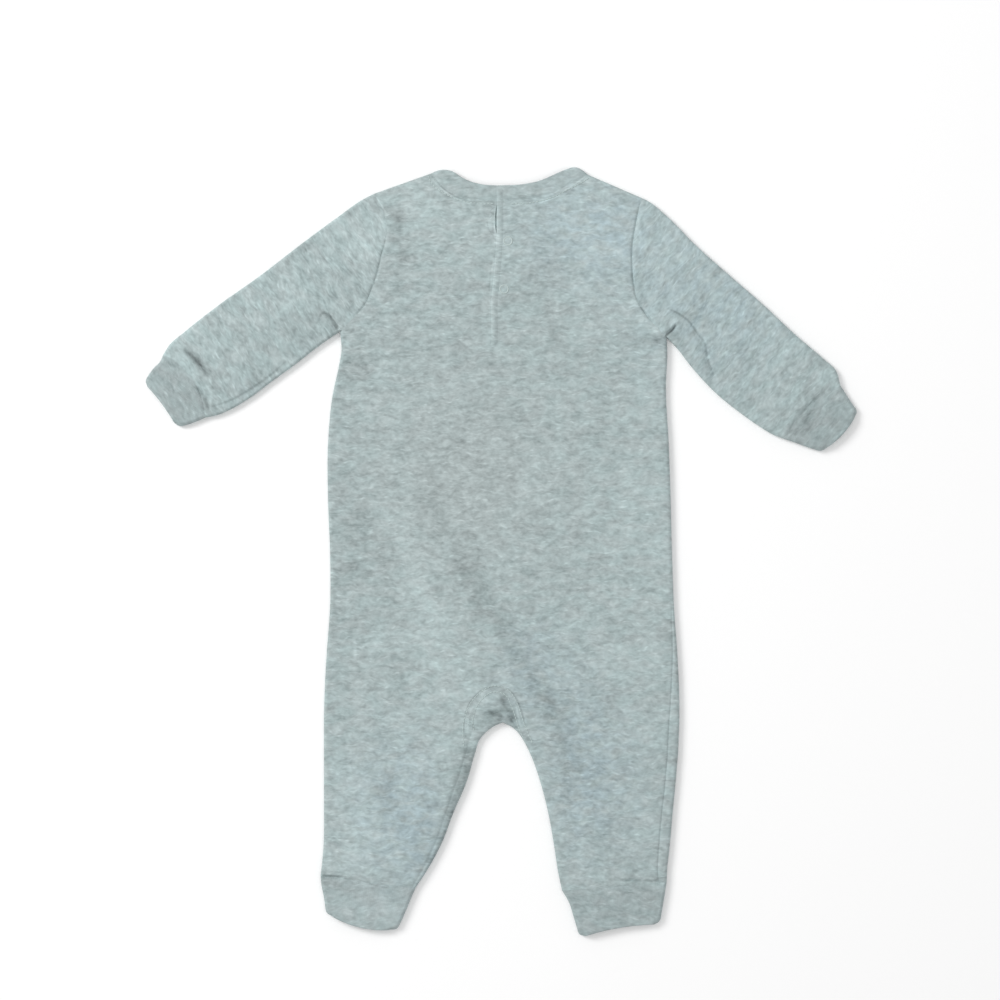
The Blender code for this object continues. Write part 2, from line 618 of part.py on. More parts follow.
def snap_object(name, place, colour):
    """A ring snap: a round ring that lies on the back."""
    centre = Vector(place)
    base = top_height(centre) + SNAP_LIFT + SNAP_TUBE / 2
    ring_radius = (SNAP_DIAMETER - SNAP_TUBE) / 2
    mesh_data = bmesh.new()
    loops = []
    for step in range(SNAP_SIDES):
        turn = 2 * math.pi * step / SNAP_SIDES
        loop = []
        for corner in range(SNAP_PROFILE_SIDES):
            roll = 2 * math.pi * (corner + 0.5) / SNAP_PROFILE_SIDES
            reach = ring_radius + SNAP_TUBE / 2 * math.cos(roll)
            spot = Vector((centre.x + reach * math.cos(turn), centre.y + reach * math.sin(turn),
                           base + SNAP_TUBE / 2 * math.sin(roll)))
            loop.append(mesh_data.verts.new(spot * MM))
        loops.append(loop)
    for first, second in zip(loops, loops[1:] + loops[:1]):
        for corner in range(SNAP_PROFILE_SIDES):
            after = (corner + 1) % SNAP_PROFILE_SIDES
            mesh_data.faces.new([first[corner], second[corner], second[after], first[after]])
    bmesh.ops.recalc_face_normals(mesh_data, faces=mesh_data.faces)
    return finished_object(name, mesh_data, colour, SNAP_ROUGHNESS)


# ---------------------------------------------------------------- the garment
def main():
    for old in list(bpy.data.objects):
        bpy.data.objects.remove(old, do_unlink=True)
    halves = ((YOKE_LEFT, TORSO_LEFT, LEG_LEFT, LEFT, NECK_FOLD_LEFT),
              (YOKE_RIGHT, TORSO_RIGHT, LEG_RIGHT, RIGHT, NECK_FOLD_RIGHT))
    cloth_object("front_panel", [cell for half in halves for cell in front_half(*half)], BODY_COLOUR)
    cloth_object("back_panel", [cell for half in halves for cell in back_half(*half)], BODY_COLOUR)
    sleeve_object("sleeve_left", YOKE_LEFT, SLEEVE_LEFT, LEFT, SLEEVE_COLOUR)
    sleeve_object("sleeve_right", YOKE_RIGHT, SLEEVE_RIGHT, RIGHT, SLEEVE_COLOUR)
    wrist_cuff_object("wrist_cuff_left", YOKE_LEFT, SLEEVE_LEFT, WRIST_CUFF_LEFT, LEFT, RIB_COLOUR)
    wrist_cuff_object("wrist_cuff_right", YOKE_RIGHT, SLEEVE_RIGHT, WRIST_CUFF_RIGHT, RIGHT, RIB_COLOUR)
    ankle_cuff_object("ankle_cuff_left", ANKLE_CUFF_LEFT, RIB_COLOUR)
    ankle_cuff_object("ankle_cuff_right", ANKLE_CUFF_RIGHT, RIB_COLOUR)
    neckband_object("neckband", RIB_COLOUR)
    overlap_object("placket_overlap", BODY_COLOUR)
    underlap_object("placket_underlap", BODY_COLOUR)
    for name, place in SNAPS.items():
        snap_object(name, place, SNAP_COLOUR)


main()
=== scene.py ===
# %% [markdown]
# # A baby's one-piece, laid flat with its back up
#
# This lesson dresses a plain garment of solid panels in real-looking cloth: brushed cotton fleece in a heather
# grey-green. The garment lies on its front, so its back shows, with a short snapped opening below the neckband.
#
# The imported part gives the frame. Tables are in millimetres and in the frame of the part: +X towards the
# wearer's right, +Y towards the neck, and +Z up from the surface that the garment lies on.

import math
from collections import namedtuple

import bmesh
import bpy
import numpy as np
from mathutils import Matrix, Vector


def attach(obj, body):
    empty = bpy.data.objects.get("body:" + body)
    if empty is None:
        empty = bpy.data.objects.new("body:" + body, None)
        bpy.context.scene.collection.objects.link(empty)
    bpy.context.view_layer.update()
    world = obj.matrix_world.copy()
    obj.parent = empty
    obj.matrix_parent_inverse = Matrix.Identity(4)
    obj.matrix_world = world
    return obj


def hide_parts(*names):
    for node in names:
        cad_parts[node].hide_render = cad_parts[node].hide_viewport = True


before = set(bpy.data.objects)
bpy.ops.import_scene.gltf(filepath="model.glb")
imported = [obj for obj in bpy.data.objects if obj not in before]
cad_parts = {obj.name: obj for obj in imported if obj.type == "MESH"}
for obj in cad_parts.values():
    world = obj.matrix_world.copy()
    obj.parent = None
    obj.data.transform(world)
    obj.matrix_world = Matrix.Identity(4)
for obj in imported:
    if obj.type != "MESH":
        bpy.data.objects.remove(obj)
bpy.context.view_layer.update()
MM = 0.001
print("panels in the part:", ", ".join(sorted(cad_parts)))

# %% [markdown]
# ## The camera, the floor and the light
#
# The camera looks straight down at a white table. A long lens far away keeps the sleeves from leaning
# outwards. Soft light from the upper left leaves a narrow shadow on the right of each edge, which tells the
# eye that the cloth has thickness.

# %% Camera, floor and lights
PICTURE_WIDTH = 740        # millimetres of the table across the picture
PICTURE_CENTRE = (-1, 39)
LENS = 100
SENSOR = 36
SIGHT = 20                 # metres that the camera sees
CLOTH_LEVEL = 7            # the camera's distance is measured from the cloth's top
FLOOR = -0.0001            # a hair below the ribs, so that no two faces share a place
TABLE_EDGE = 4             # metres from the middle of the table to its edges
AMBIENT = 0.56
WHITE = (1, 1, 1, 1)
TABLE_WHITE = (0.98, 0.98, 0.98, 1)
Lamp = namedtuple("Lamp", "name place width power")
LAMPS = [Lamp("key_light", (-2.1, 1.35, 1.9), 1.2, 54), Lamp("top_fill", (0.2, -0.1, 2.6), 2.4, 15)]


def add_object(name, data):
    """A new object in the scene."""
    thing = bpy.data.objects.new(name, data)
    bpy.context.scene.collection.objects.link(thing)
    return thing


def set_inputs(node, **values):
    """Values for a node's inputs by name, with _ for each space."""
    for label, value in values.items():
        node.inputs[label.replace("_", " ")].default_value = value


camera_data = bpy.data.cameras.new("camera_above")
camera_data.lens, camera_data.sensor_width, camera_data.clip_end = LENS, SENSOR, SIGHT
camera = add_object("camera_above", camera_data)
camera_height = (PICTURE_WIDTH * LENS / SENSOR + CLOTH_LEVEL) * MM
camera.location = (PICTURE_CENTRE[0] * MM, PICTURE_CENTRE[1] * MM, camera_height)
bpy.context.scene.camera = camera

for lamp in LAMPS:
    light = bpy.data.lights.new(lamp.name, "AREA")
    light.size, light.energy = lamp.width, lamp.power
    hung = add_object(lamp.name, light)
    hung.location = lamp.place
    hung.rotation_euler = (-Vector(lamp.place)).to_track_quat("-Z", "Y").to_euler()

world = bpy.data.worlds.new("studio")
world.use_nodes = True
set_inputs(world.node_tree.nodes["Background"], Color=WHITE, Strength=AMBIENT)
bpy.context.scene.world = world
bpy.context.scene.view_settings.view_transform = "Standard"

floor_mesh = bpy.data.meshes.new("table")
floor_mesh.from_pydata([(x * TABLE_EDGE, y * TABLE_EDGE, FLOOR) for x, y in ((-1, -1), (1, -1), (1, 1), (-1, 1))],
                       [], [(0, 1, 2, 3)])
floor_paint = bpy.data.materials.new("white_table")
floor_paint.use_nodes = True
set_inputs(floor_paint.node_tree.nodes["Principled BSDF"], Base_Color=TABLE_WHITE, Roughness=0.9)
floor_mesh.materials.append(floor_paint)
add_object("table", floor_mesh)
print(f"camera {camera_height:.3f} m above the table")

# %% [markdown]
# ## The pattern of the garment
#
# A pattern cutter draws each panel as two edges with matching notches. These tables do the same: a row joins
# a place on the inner edge (neck seam, opening, centre line, inner leg) to a place on the outer edge
# (armhole, side). Soft curves through the rows give the fine mesh, so a small table is enough.

# %% Tables of the body
RIM_SEAM = 1               # usual inset: the distance from a fold to its seam on the back, seen from above
Yoke = namedtuple("Yoke", "back_x back_y front_x front_y armhole_x armhole_y")
Torso = namedtuple("Torso", "back_x back_y front_x front_y side_x side_y side_inset", defaults=(RIM_SEAM,))
Leg = namedtuple("Leg", "inner_x inner_y side_x side_y inner_inset side_inset", defaults=(RIM_SEAM,))


def table(kind, rows):
    """Rows with named columns."""
    return [kind(*row) for row in rows]


YOKE_LEFT = table(Yoke, [
    (-51.8, 281.2, -51.8, 281.2, -94.5, 266), (-47.5, 273.5, -50.5, 270, -88, 254.5), (-41, 269, -48, 258, -85.5, 245),
    (-32, 264.5, -42, 246, -85, 236.5), (-20.5, 262, -32, 236, -86.5, 228), (-3, 261.5, -17, 228.5, -89, 219),
    (-4.9, 244, -8, 227, -90.3, 213), (-3.2, 232.5, 0, 226, -91.5, 208), (-3.2, 220.5, 0, 214, -94.5, 199),
    (-5.4, 198, 0, 198, -102.5, 181.5), (-6.4, 187, 0, 187, -110.5, 173), (-6.4, 172, 0, 172, -119.5, 164),
])
YOKE_RIGHT = table(Yoke, [
    (63.5, 280.5, 63.5, 280.5, 104, 263), (55.5, 275.5, 61, 270, 101, 250), (46.5, 271, 57, 259, 98.5, 237),
    (36.5, 266, 49, 247, 97, 226), (20, 262, 36, 236, 97, 213), (0.8, 261.5, 18, 228.5, 98, 199.5),
    (0.8, 239, 0, 226, 99.5, 191), (-0.2, 220.5, 0, 214, 102.5, 184), (-2.2, 198, 0, 198, 106, 178),
    (-3.2, 187, 0, 187, 110, 173), (-3.2, 172, 0, 172, 116, 166), (-3.2, 156.5, 0, 156.5, 122.5, 159.5),
])
TORSO_LEFT = table(Torso, [
    (-6.4, 157.5, 0, 156.5, -118.5, 150), (-7.5, 155.5, 0, 155.5, -120.5, 138), (-5, 120, 0, 120, -125, 117),
    (-3, 80, 0, 80, -128.5, 80), (-1, 40, 0, 40, -128.5, 40), (0, 0, 0, 0, -127, 0), (0, -40, 0, -40, -127, -40),
    (0, -75, 0, -75, -129.5, -75), (1, -100, 1, -100, -131, -103),
])
TORSO_RIGHT = table(Torso, [
    (-7.5, 155.5, 0, 155.5, 123, 147), (-5, 120, 0, 120, 122, 125), (-3, 80, 0, 80, 124, 82),
    (-1, 40, 0, 40, 125.5, 40), (0, 0, 0, 0, 126.5, 0), (0, -40, 0, -40, 128, -40, 1.6),
    (0, -75, 0, -75, 130.5, -75, 3.4), (1, -100, 1, -100, 131.8, -103, 5.8),
])
LEG_LEFT = table(Leg, [
    (1, -126, -131.5, -123, 9.1), (-4, -128, -131.5, -136, 9.8), (-10, -132, -131.5, -148, 9.7),
    (-16, -138.5, -131.5, -159, 7.1), (-20, -150.5, -131.5, -172, 6.2), (-26, -170.5, -131.5, -188, 6.4),
    (-36, -194, -131.5, -205, 4.7), (-44, -215, -132, -220, 4.2), (-53.5, -233, -133, -231, 3.2),
    (-63.5, -248.5, -134, -239.5, 1.8),
])
LEG_RIGHT = table(Leg, [
    (1, -126, 132, -124, 9.1, 7.4), (6.5, -128.5, 131.5, -137, 4.1, 7.6), (11.5, -132.5, 131, -149, 1.8, 7.6),
    (16.5, -139.5, 130, -161, RIM_SEAM, 7.6), (22, -150.5, 129, -173, RIM_SEAM, 7.6),
    (29.5, -172, 127.5, -188, RIM_SEAM, 7.8), (35, -194, 126, -205, RIM_SEAM, 8),
    (39, -216.5, 124.5, -221, RIM_SEAM, 7.8), (42, -236, 123, -234, RIM_SEAM, 7),
    (45, -250.5, 122.5, -244, RIM_SEAM, 5.8),
])
print(len(YOKE_LEFT + TORSO_LEFT + LEG_LEFT), "rows on the left,",
      len(YOKE_RIGHT + TORSO_RIGHT + LEG_RIGHT), "on the right")

# %% Tables of the sleeves, cuffs and neckband
# A section runs across a flattened tube from its upper to its lower fold. Its bow is towards the body.
Section = namedtuple("Section", "upper_x upper_y lower_x lower_y armhole bow", defaults=(0, 0))
SLEEVE_LEFT = table(Section, [
    (-94.5, 266, -119.5, 164, 1), (-104, 261, -125.5, 160, 0.8), (-119.5, 250, -133.5, 154.5, 0.5),
    (-150, 227.5, -153.5, 139, 0.2), (-178.5, 205.5, -170, 127, 0, 0.5), (-209.5, 183.5, -186, 115, 0, 1.5),
    (-235, 163.5, -200, 106.5, 0, 3.5), (-246, 154, -210.5, 102, 0, 6), (-250.5, 147, -219.5, 100, 0, 8),
])
SLEEVE_RIGHT = table(Section, [
    (104, 263, 122.5, 159.5, 1), (109, 260.5, 126.5, 155.5, 0.8), (122, 250, 131.5, 150, 0.5),
    (144.5, 227.5, 139.5, 139.5, 0.2), (167.5, 207, 149, 128.5, 0, 0.5), (194.5, 183.5, 161, 116.5, 0, 1),
    (218.5, 161, 176, 104.5, 0, 2), (238.5, 144, 190, 94.5, 0, 3.5), (248, 135, 201.5, 87.5, 0, 5),
    (251.5, 123.5, 210.5, 84, 0, 6),
])
WRIST_LEFT = SLEEVE_LEFT[-1:] + table(Section, [
    (-253, 141.5, -225, 97.7, 0, 5), (-257.5, 137, -231.5, 95.2, 0, 3), (-265, 126.5, -240, 93, 0, 1),
])
WRIST_RIGHT = SLEEVE_RIGHT[-1:] + table(Section, [
    (255.5, 117.5, 218, 81.5, 0, 3), (260, 110.5, 227.5, 78, 0, 0.5), (265, 104, 238.5, 74.5, 0, -2),
])
ANKLE_LEFT = table(Section, [
    (-134, -239.5, -63.5, -248.5), (-133.5, -245.5, -66, -254, 0, -1.5), (-131.5, -256, -71, -266, 0, -2),
    (-130, -268.5, -77.5, -280.5, 0, -3.5),
])
ANKLE_RIGHT = table(Section, [
    (45, -250.5, 122.5, -244), (50, -259, 121.5, -251, 0, 1.5), (54, -271.5, 119.5, -263, 0, 1.5),
    (58, -285, 117.5, -275, 0, 2),
])

# The free edge of the neckband, matched to the first rows of the yoke, and its folds at the shoulders
BAND_LEFT_BACK = [(-36.5, 283), (-33.5, 281), (-29.5, 278.2), (-23.5, 275.3), (-15, 273), (-3, 272)]
BAND_LEFT_FRONT = [(-36.5, 283), (-38.5, 271), (-37, 261.5), (-33, 252.5), (-25, 244.5), (-13.5, 239), (-7, 237.4),
                   (0, 237)]
BAND_RIGHT_BACK = [(50.5, 285), (43.5, 282.2), (36.5, 278.9), (28, 275.5), (16, 273), (-2.7, 272)]
BAND_RIGHT_FRONT = [(50.5, 285), (49.5, 272), (46.5, 262), (40, 252.5), (29, 244.5), (14.5, 239), (0, 237)]
BAND_FOLD_LEFT = (-44.5, 283.8)
BAND_FOLD_RIGHT = (57, 285.2)
SLEEVES = (SLEEVE_LEFT, SLEEVE_RIGHT)
CUFFS = (WRIST_LEFT, WRIST_RIGHT, ANKLE_LEFT, ANKLE_RIGHT)
print("sections:", [len(rows) for rows in SLEEVES + CUFFS])

# %% [markdown]
# ## Soft curves
#
# Cloth never turns at a table's points, so Hermite curves join them. Each point's slope comes from its two
# neighbours, weighted by how near they are. At a real corner, such as the armpit, each side keeps its own.

# %% Curves through the tables
def soft_curve(points, shares, corners=()):
    """Places along a soft curve through points. shares says where the places lie in each interval."""
    points = np.array(points, float).reshape(len(points), -1)
    gaps = np.diff(points, axis=0)
    lengths = np.maximum(np.linalg.norm(gaps, axis=1), 1e-6)[:, None]
    rates = gaps / lengths
    between = (rates[:-1] * lengths[1:] + rates[1:] * lengths[:-1]) / (lengths[1:] + lengths[:-1])
    slopes = np.vstack([rates[:1], between, rates[-1:]])
    places = []
    for index, at in enumerate(shares):
        at = np.array(at, float)[:, None]
        leaving, arriving = [rates[index] if row in corners else slopes[row] for row in (index, index + 1)]
        places.append(points[index] * (2 * at**3 - 3 * at**2 + 1)
                      + leaving * lengths[index] * (at**3 - 2 * at**2 + at)
                      + points[index + 1] * (3 * at**2 - 2 * at**3)
                      + arriving * lengths[index] * (at**3 - at**2))
    return np.concatenate(places + [points[-1:]])


def even_shares(step, *chains):
    """Evenly spaced shares for the intervals of matched chains, at most a step apart."""
    lengths = np.max([np.linalg.norm(np.diff(np.array(chain, float), axis=0), axis=1) for chain in chains], axis=0)
    return [np.arange(count) / count for count in np.maximum(np.ceil(lengths / step), 1).astype(int)]


def seam_line(points, step=1.5):
    """A fine soft line through a few points."""
    return soft_curve(points, even_shares(step, points))


def columns(rows, *names):
    """Some named columns of a table, as an array."""
    return np.array([[getattr(row, name) for name in names] for row in rows], float)


def unit(vectors):
    """Vectors of length one."""
    return vectors / np.maximum(np.linalg.norm(vectors, axis=-1, keepdims=True), 1e-9)


def square_to(chain, turn):
    """Unit vectors square to a chain of places, on its side that turn says."""
    run = unit(np.gradient(chain, axis=0))
    return np.stack([run[:, 1], -run[:, 0]], axis=1) * turn


print("curve check:", soft_curve([(0, 0), (10, 0), (20, 10)], [[0, 0.5], [0, 0.5]]).round(2).tolist())

# %% Fine edges of one half of the body
ROW_STEP = 2
FOLD = 2.7                 # radius of the round fold
SHOULDER_SHARES = np.array([0, 0.01, 0.04, 0.085, 0.14, 0.2, 0.27, 0.36, 0.48, 0.64, 0.82])
NECK_CORNER = 5            # row of the corner of the back's neck seam and the opening
FRONT_CORNER = {-1: 7, 1: 6}    # row of the middle of the front's neck seam, on each side
JOIN = {-1: 13, 1: 12}     # row where both halves of the back meet below the opening
Half = namedtuple("Half", "side back_inner front_inner fold into inset inner_fold inner_into inner_inset"
                          " armpit crotch armhole neck_rows front_neck_rows")


def edge_points(yoke, torso, leg):
    """The table's places on the front's inner edge and on the outer fold."""
    front = np.vstack([columns(yoke + torso, "front_x", "front_y"), columns(leg, "inner_x", "inner_y")])
    fold = np.vstack([columns(yoke, "armhole_x", "armhole_y"), columns(torso + leg, "side_x", "side_y")])
    return front, fold


def matched_shares():
    """Shares for both halves. From the front's neck down, both halves have the same rows, so they weld."""
    left = even_shares(ROW_STEP, *edge_points(YOKE_LEFT, TORSO_LEFT, LEG_LEFT))
    right = even_shares(ROW_STEP, *edge_points(YOKE_RIGHT, TORSO_RIGHT, LEG_RIGHT))
    shift = FRONT_CORNER[-1] - FRONT_CORNER[1]
    for index in range(FRONT_CORNER[1], len(right)):
        left[index + shift] = right[index] = max(left[index + shift], right[index], key=len)
    left[0] = right[0] = SHOULDER_SHARES
    return {-1: left, 1: right}


def body_half(yoke, torso, leg, side):
    """All fine edges of a half: row by row, from the shoulder fold to the ankle."""
    last_yoke, first_leg = len(yoke) - 1, len(yoke) + len(torso)
    front_points, fold_points = edge_points(yoke, torso, leg)
    front_points, inner_points = front_points[:first_leg], front_points[first_leg:]
    across = unit(fold_points[-1] - inner_points[-1])
    into_points = square_to(fold_points[last_yoke:], side)
    into_points[0], into_points[-1] = (-side, 0), -across
    inner_into_points = square_to(inner_points, -side)
    inner_into_points[0], inner_into_points[-1] = (0, 1), across

    shares = SHARES[side]
    above, low, below = shares[:first_leg], shares[last_yoke:], shares[first_leg:]
    starts = np.cumsum([0] + [len(at) for at in shares])
    crotch_seam = inner_points[0] + inner_into_points[0] * leg[0].inner_inset
    back_points = np.vstack([columns(yoke + torso, "back_x", "back_y"), crotch_seam])
    fold = soft_curve(fold_points, shares, (last_yoke,))
    return Half(
        side=side,
        back_inner=soft_curve(back_points, above, (NECK_CORNER, JOIN[side] - 1, JOIN[side], first_leg - 1)),
        front_inner=soft_curve(np.vstack([front_points, inner_points[:1] + (0, FOLD)]), above,
                               (FRONT_CORNER[side], first_leg - 1)),
        fold=fold, into=unit(soft_curve(into_points, low)),
        inset=soft_curve([RIM_SEAM, *columns(torso + leg, "side_inset")[:, 0]], low)[:, 0],
        inner_fold=soft_curve(inner_points, below), inner_into=unit(soft_curve(inner_into_points, below)),
        inner_inset=soft_curve(columns(leg, "inner_inset"), below)[:, 0],
        armpit=starts[last_yoke], crotch=starts[first_leg], armhole=fold[:starts[last_yoke] + 1],
        neck_rows=starts[NECK_CORNER], front_neck_rows=starts[FRONT_CORNER[side]])


SHARES = matched_shares()
LEFT = body_half(YOKE_LEFT, TORSO_LEFT, LEG_LEFT, -1)
RIGHT = body_half(YOKE_RIGHT, TORSO_RIGHT, LEG_RIGHT, 1)
print("rows:", len(LEFT.fold), "left,", len(RIGHT.fold), "right; armpit at", LEFT.armpit, RIGHT.armpit)

# %% Fine folds of the sleeves and cuffs
SLEEVE_STEP = 1.3
CUFF_STEP = 1.1
CUFF_CORNER = 4            # radius of the hem's corners
Tube = namedtuple("Tube", "upper lower armhole bow")


def tube_folds(rows, step, corner=0):
    """The two folds of a flattened tube, with how far each section follows the armhole and bows."""
    upper, lower = columns(rows, "upper_x", "upper_y"), columns(rows, "lower_x", "lower_y")
    shares = even_shares(step, upper, lower)
    upper, lower = soft_curve(upper, shares), soft_curve(lower, shares)
    if corner:
        for fold, other in ((upper, lower.copy()), (lower, upper.copy())):
            to_hem = np.linalg.norm(fold - fold[-1], axis=1)
            inset = corner - np.sqrt(corner**2 - np.maximum(0, corner - to_hem) ** 2)
            fold += unit(other - fold) * inset[:, None]
    armhole, bow = [soft_curve(columns(rows, name), shares)[:, 0] for name in ("armhole", "bow")]
    return Tube(upper, lower, armhole, bow)


sleeve_l, sleeve_r = [tube_folds(rows, SLEEVE_STEP) for rows in SLEEVES]
CUFF_TUBES = [tube_folds(rows, CUFF_STEP, CUFF_CORNER) for rows in CUFFS]
wrist_l, wrist_r, ankle_l, ankle_r = CUFF_TUBES
print("rows of the sleeves and cuffs:", [len(tube.upper) for tube in (sleeve_l, sleeve_r, *CUFF_TUBES)])

# %% [markdown]
# ## How high the cloth lies
#
# A flattened tube is a soft pillow: a round fold along its edges and a low crown in the middle. So the height
# of a place depends first on its distance from the nearest fold. One function for the whole garment keeps
# neighbouring panels at the same height at their seams.

# %% Distances to folds and seams
def run_lengths(line):
    """How far each place of a line lies along it."""
    return np.concatenate([[0], np.cumsum(np.linalg.norm(np.diff(line, axis=0), axis=1))])


def along_line(places, line):
    """For each place: its distance to a line (positive on the left of its run) and the share along it."""
    line = np.array(line, float)
    runs = np.diff(line, axis=0)
    lengths = np.linalg.norm(runs, axis=1)
    before = run_lengths(line)
    best = np.full(len(places), np.inf)
    sign = np.ones(len(places))
    share = np.zeros(len(places))
    for start, run, length, passed in zip(line, runs, lengths, before):
        if length < 1e-9:
            continue
        offset = places - start
        at = np.clip(offset @ run / length**2, 0, 1)
        distance = np.hypot(*(offset - at[:, None] * run).T)
        nearer = distance < best
        best[nearer] = distance[nearer]
        sign[nearer] = np.where(run[0] * offset[nearer, 1] - run[1] * offset[nearer, 0] < 0, -1, 1)
        share[nearer] = (passed + at[nearer] * length) / before[-1]
    return best * sign, share


def section_chain(tube, row, shares):
    """Places across a tube in one row, by their shares from the upper to the lower fold."""
    upper, lower = tube.upper[row], tube.lower[row]
    run = unit(lower - upper)
    towards = np.array([-run[1], run[0]]) * (1 if upper[0] < 0 else -1)
    if abs(run[1]) < 0.5:      # the tube runs down a leg, so the body lies above it
        towards = np.array([0, 1])
    shares = np.array(shares)[:, None]
    return upper + (lower - upper) * shares + towards * (tube.bow[row] * 4 * shares * (1 - shares))


def cross_line(tube):
    """The line of a cuff's seam across its tube."""
    return section_chain(tube, 0, np.linspace(0, 1, 24))


shoulder_left = seam_line([BAND_LEFT_BACK[0], BAND_FOLD_LEFT, YOKE_LEFT[0][:2]])
shoulder_right = seam_line([BAND_RIGHT_BACK[0], BAND_FOLD_RIGHT, YOKE_RIGHT[0][:2]])
FOLDS = [
    np.vstack([shoulder_left, LEFT.fold[:1], sleeve_l.upper[1:], wrist_l.upper[1:]]),
    np.vstack([wrist_l.lower[:0:-1], sleeve_l.lower[::-1], LEFT.fold[LEFT.armpit + 1:], ankle_l.upper[1:]]),
    np.vstack([ankle_l.lower[::-1], LEFT.inner_fold[-2::-1], RIGHT.inner_fold[1:], ankle_r.upper[1:]]),
    np.vstack([ankle_r.lower[::-1], RIGHT.fold[-2:RIGHT.armpit:-1], sleeve_r.lower, wrist_r.lower[1:]]),
    np.vstack([wrist_r.upper[::-1], sleeve_r.upper[-2:0:-1], RIGHT.fold[:1], shoulder_right[::-1]]),
]
HEMS = [np.vstack([tube.upper[-1:], tube.lower[-1:]]) for tube in CUFF_TUBES]
HEMS.append(np.array(BAND_LEFT_BACK + BAND_RIGHT_BACK[::-1]))
print("outline in", len(FOLDS), "folds and", len(HEMS), "open edges")

# %% [markdown]
# ## Creases, seams and hollows
#
# Each crease is laid as a short soft line with its own depth and its own steepness on either side,
# as if pressed with a finger. A seam is a narrow groove, because its stitches draw the cloth down. Broad
# hollows and rises keep the large faces from looking ironed.

# %% Tables of seams and creases
NECK_SEAM = np.vstack([LEFT.back_inner[:LEFT.neck_rows + 1], RIGHT.back_inner[RIGHT.neck_rows::-1]])
FRONT_NECK_SEAM = np.vstack([LEFT.front_inner[:LEFT.front_neck_rows + 1],
                             RIGHT.front_inner[RIGHT.front_neck_rows::-1]])
SIDE_SEAM_START = 60       # the right side's seam shows from this many rows below the armpit
INSEAM_RIGHT_ROWS = 14     # the right inner leg's seam shows on this many rows below the crotch
SIDE_SEAM_RIGHT = (RIGHT.fold[RIGHT.armpit:] + RIGHT.into * RIGHT.inset[:, None])[SIDE_SEAM_START:]
INSEAM_LEFT, INSEAM_RIGHT = [half.inner_fold + half.inner_into * half.inner_inset[:, None] for half in (LEFT, RIGHT)]
ARCHES = [
    [(-28, -142.5), (-28, -125.5), (-19.5, -107), (-5.5, -98.5), (5, -101.5), (12.5, -113.5), (16.5, -125.5),
     (22.5, -140)],
    [(-20.5, -131), (-21, -125.5), (-17.5, -112.5), (-5.5, -103), (2.5, -105), (8, -115), (12.5, -129), (18, -141)],
]

# Fades are pairs of a share along the line and how much of the depth is left there.
Seam = namedtuple("Seam", "line depth width fades", defaults=(((0, 1), (1, 1)),))
SEAMS = table(Seam, [
    (LEFT.armhole, 1, 1, ((0, 0.9), (0.1, 0.35), (0.28, 0.15), (0.38, 0.9), (0.8, 1), (0.88, 0.15), (1, 0.1))),
    (RIGHT.armhole, 1.2, 1, ((0, 0.5), (0.2, 1), (0.8, 1), (0.9, 0.4), (1, 0.1))),
    (NECK_SEAM, 0.7, 1, ((0, 1), (0.35, 0.8), (0.5, 0.5), (1, 0.5))),
    (SIDE_SEAM_RIGHT, 0.6, 0.8, ((0, 0), (0.15, 0.7), (0.4, 1), (1, 1))),
    (INSEAM_LEFT, 0.8, 1.5, ((0, 0), (0.15, 0), (0.27, 1), (1, 0.8))),
    (INSEAM_RIGHT[:INSEAM_RIGHT_ROWS], 0.8, 1),
    (cross_line(wrist_l), 0.7, 1.3, ((0, 0.6), (0.4, 0.4), (0.7, 0.8), (1, 1))),
    (cross_line(wrist_r), 0.8, 1.5),
    (cross_line(ankle_l), 0.9, 1.3, ((0, 1), (0.3, 0.8), (1, 0.5))),
    (cross_line(ankle_r), 0.9, 1.3, ((0, 0.4), (0.5, 0.6), (0.7, 1), (1, 1))),
])

# These lines carry both a crease and, in a later step, a stroke of painted light and shade.
DIAGONAL = [(-28.6, -8.7), (-14.7, -34.1), (1.5, -54.9), (10.8, -75.7), (21.2, -94.2)]
SEAT_BAND = [(-82.9, 39.9), (-71.3, 12.1), (-59.8, -20.2), (-45.9, -50.3), (-29.7, -78.1)]
CRESCENT = [(-14.4, -121.6), (-11.7, -119.6), (-7.5, -118.8), (-2.9, -119.8), (-0.1, -122.2), (1, -124.8)]
WEDGE = [(-2, -103.5), (2.2, -109.5), (5.4, -116), (8.7, -122), (10.5, -127.5)]
CUFF_LEFT_UPPER = [(-236.9, 151.8), (-232.3, 148.1), (-228.1, 144.4), (-223.5, 139.8), (-219.3, 134.7),
                   (-213.3, 129.6)]
CUFF_LEFT_LOWER = [(-227.7, 124.5), (-224.4, 121.3), (-222.1, 118), (-219.3, 113.9), (-217.3, 108.3), (-216.6, 104.6)]
HOOK = [(-130.1, 177.2), (-127.8, 176.3), (-125.4, 173.5), (-123.3, 170.5), (-121.5, 167.5), (-120.5, 164.9)]

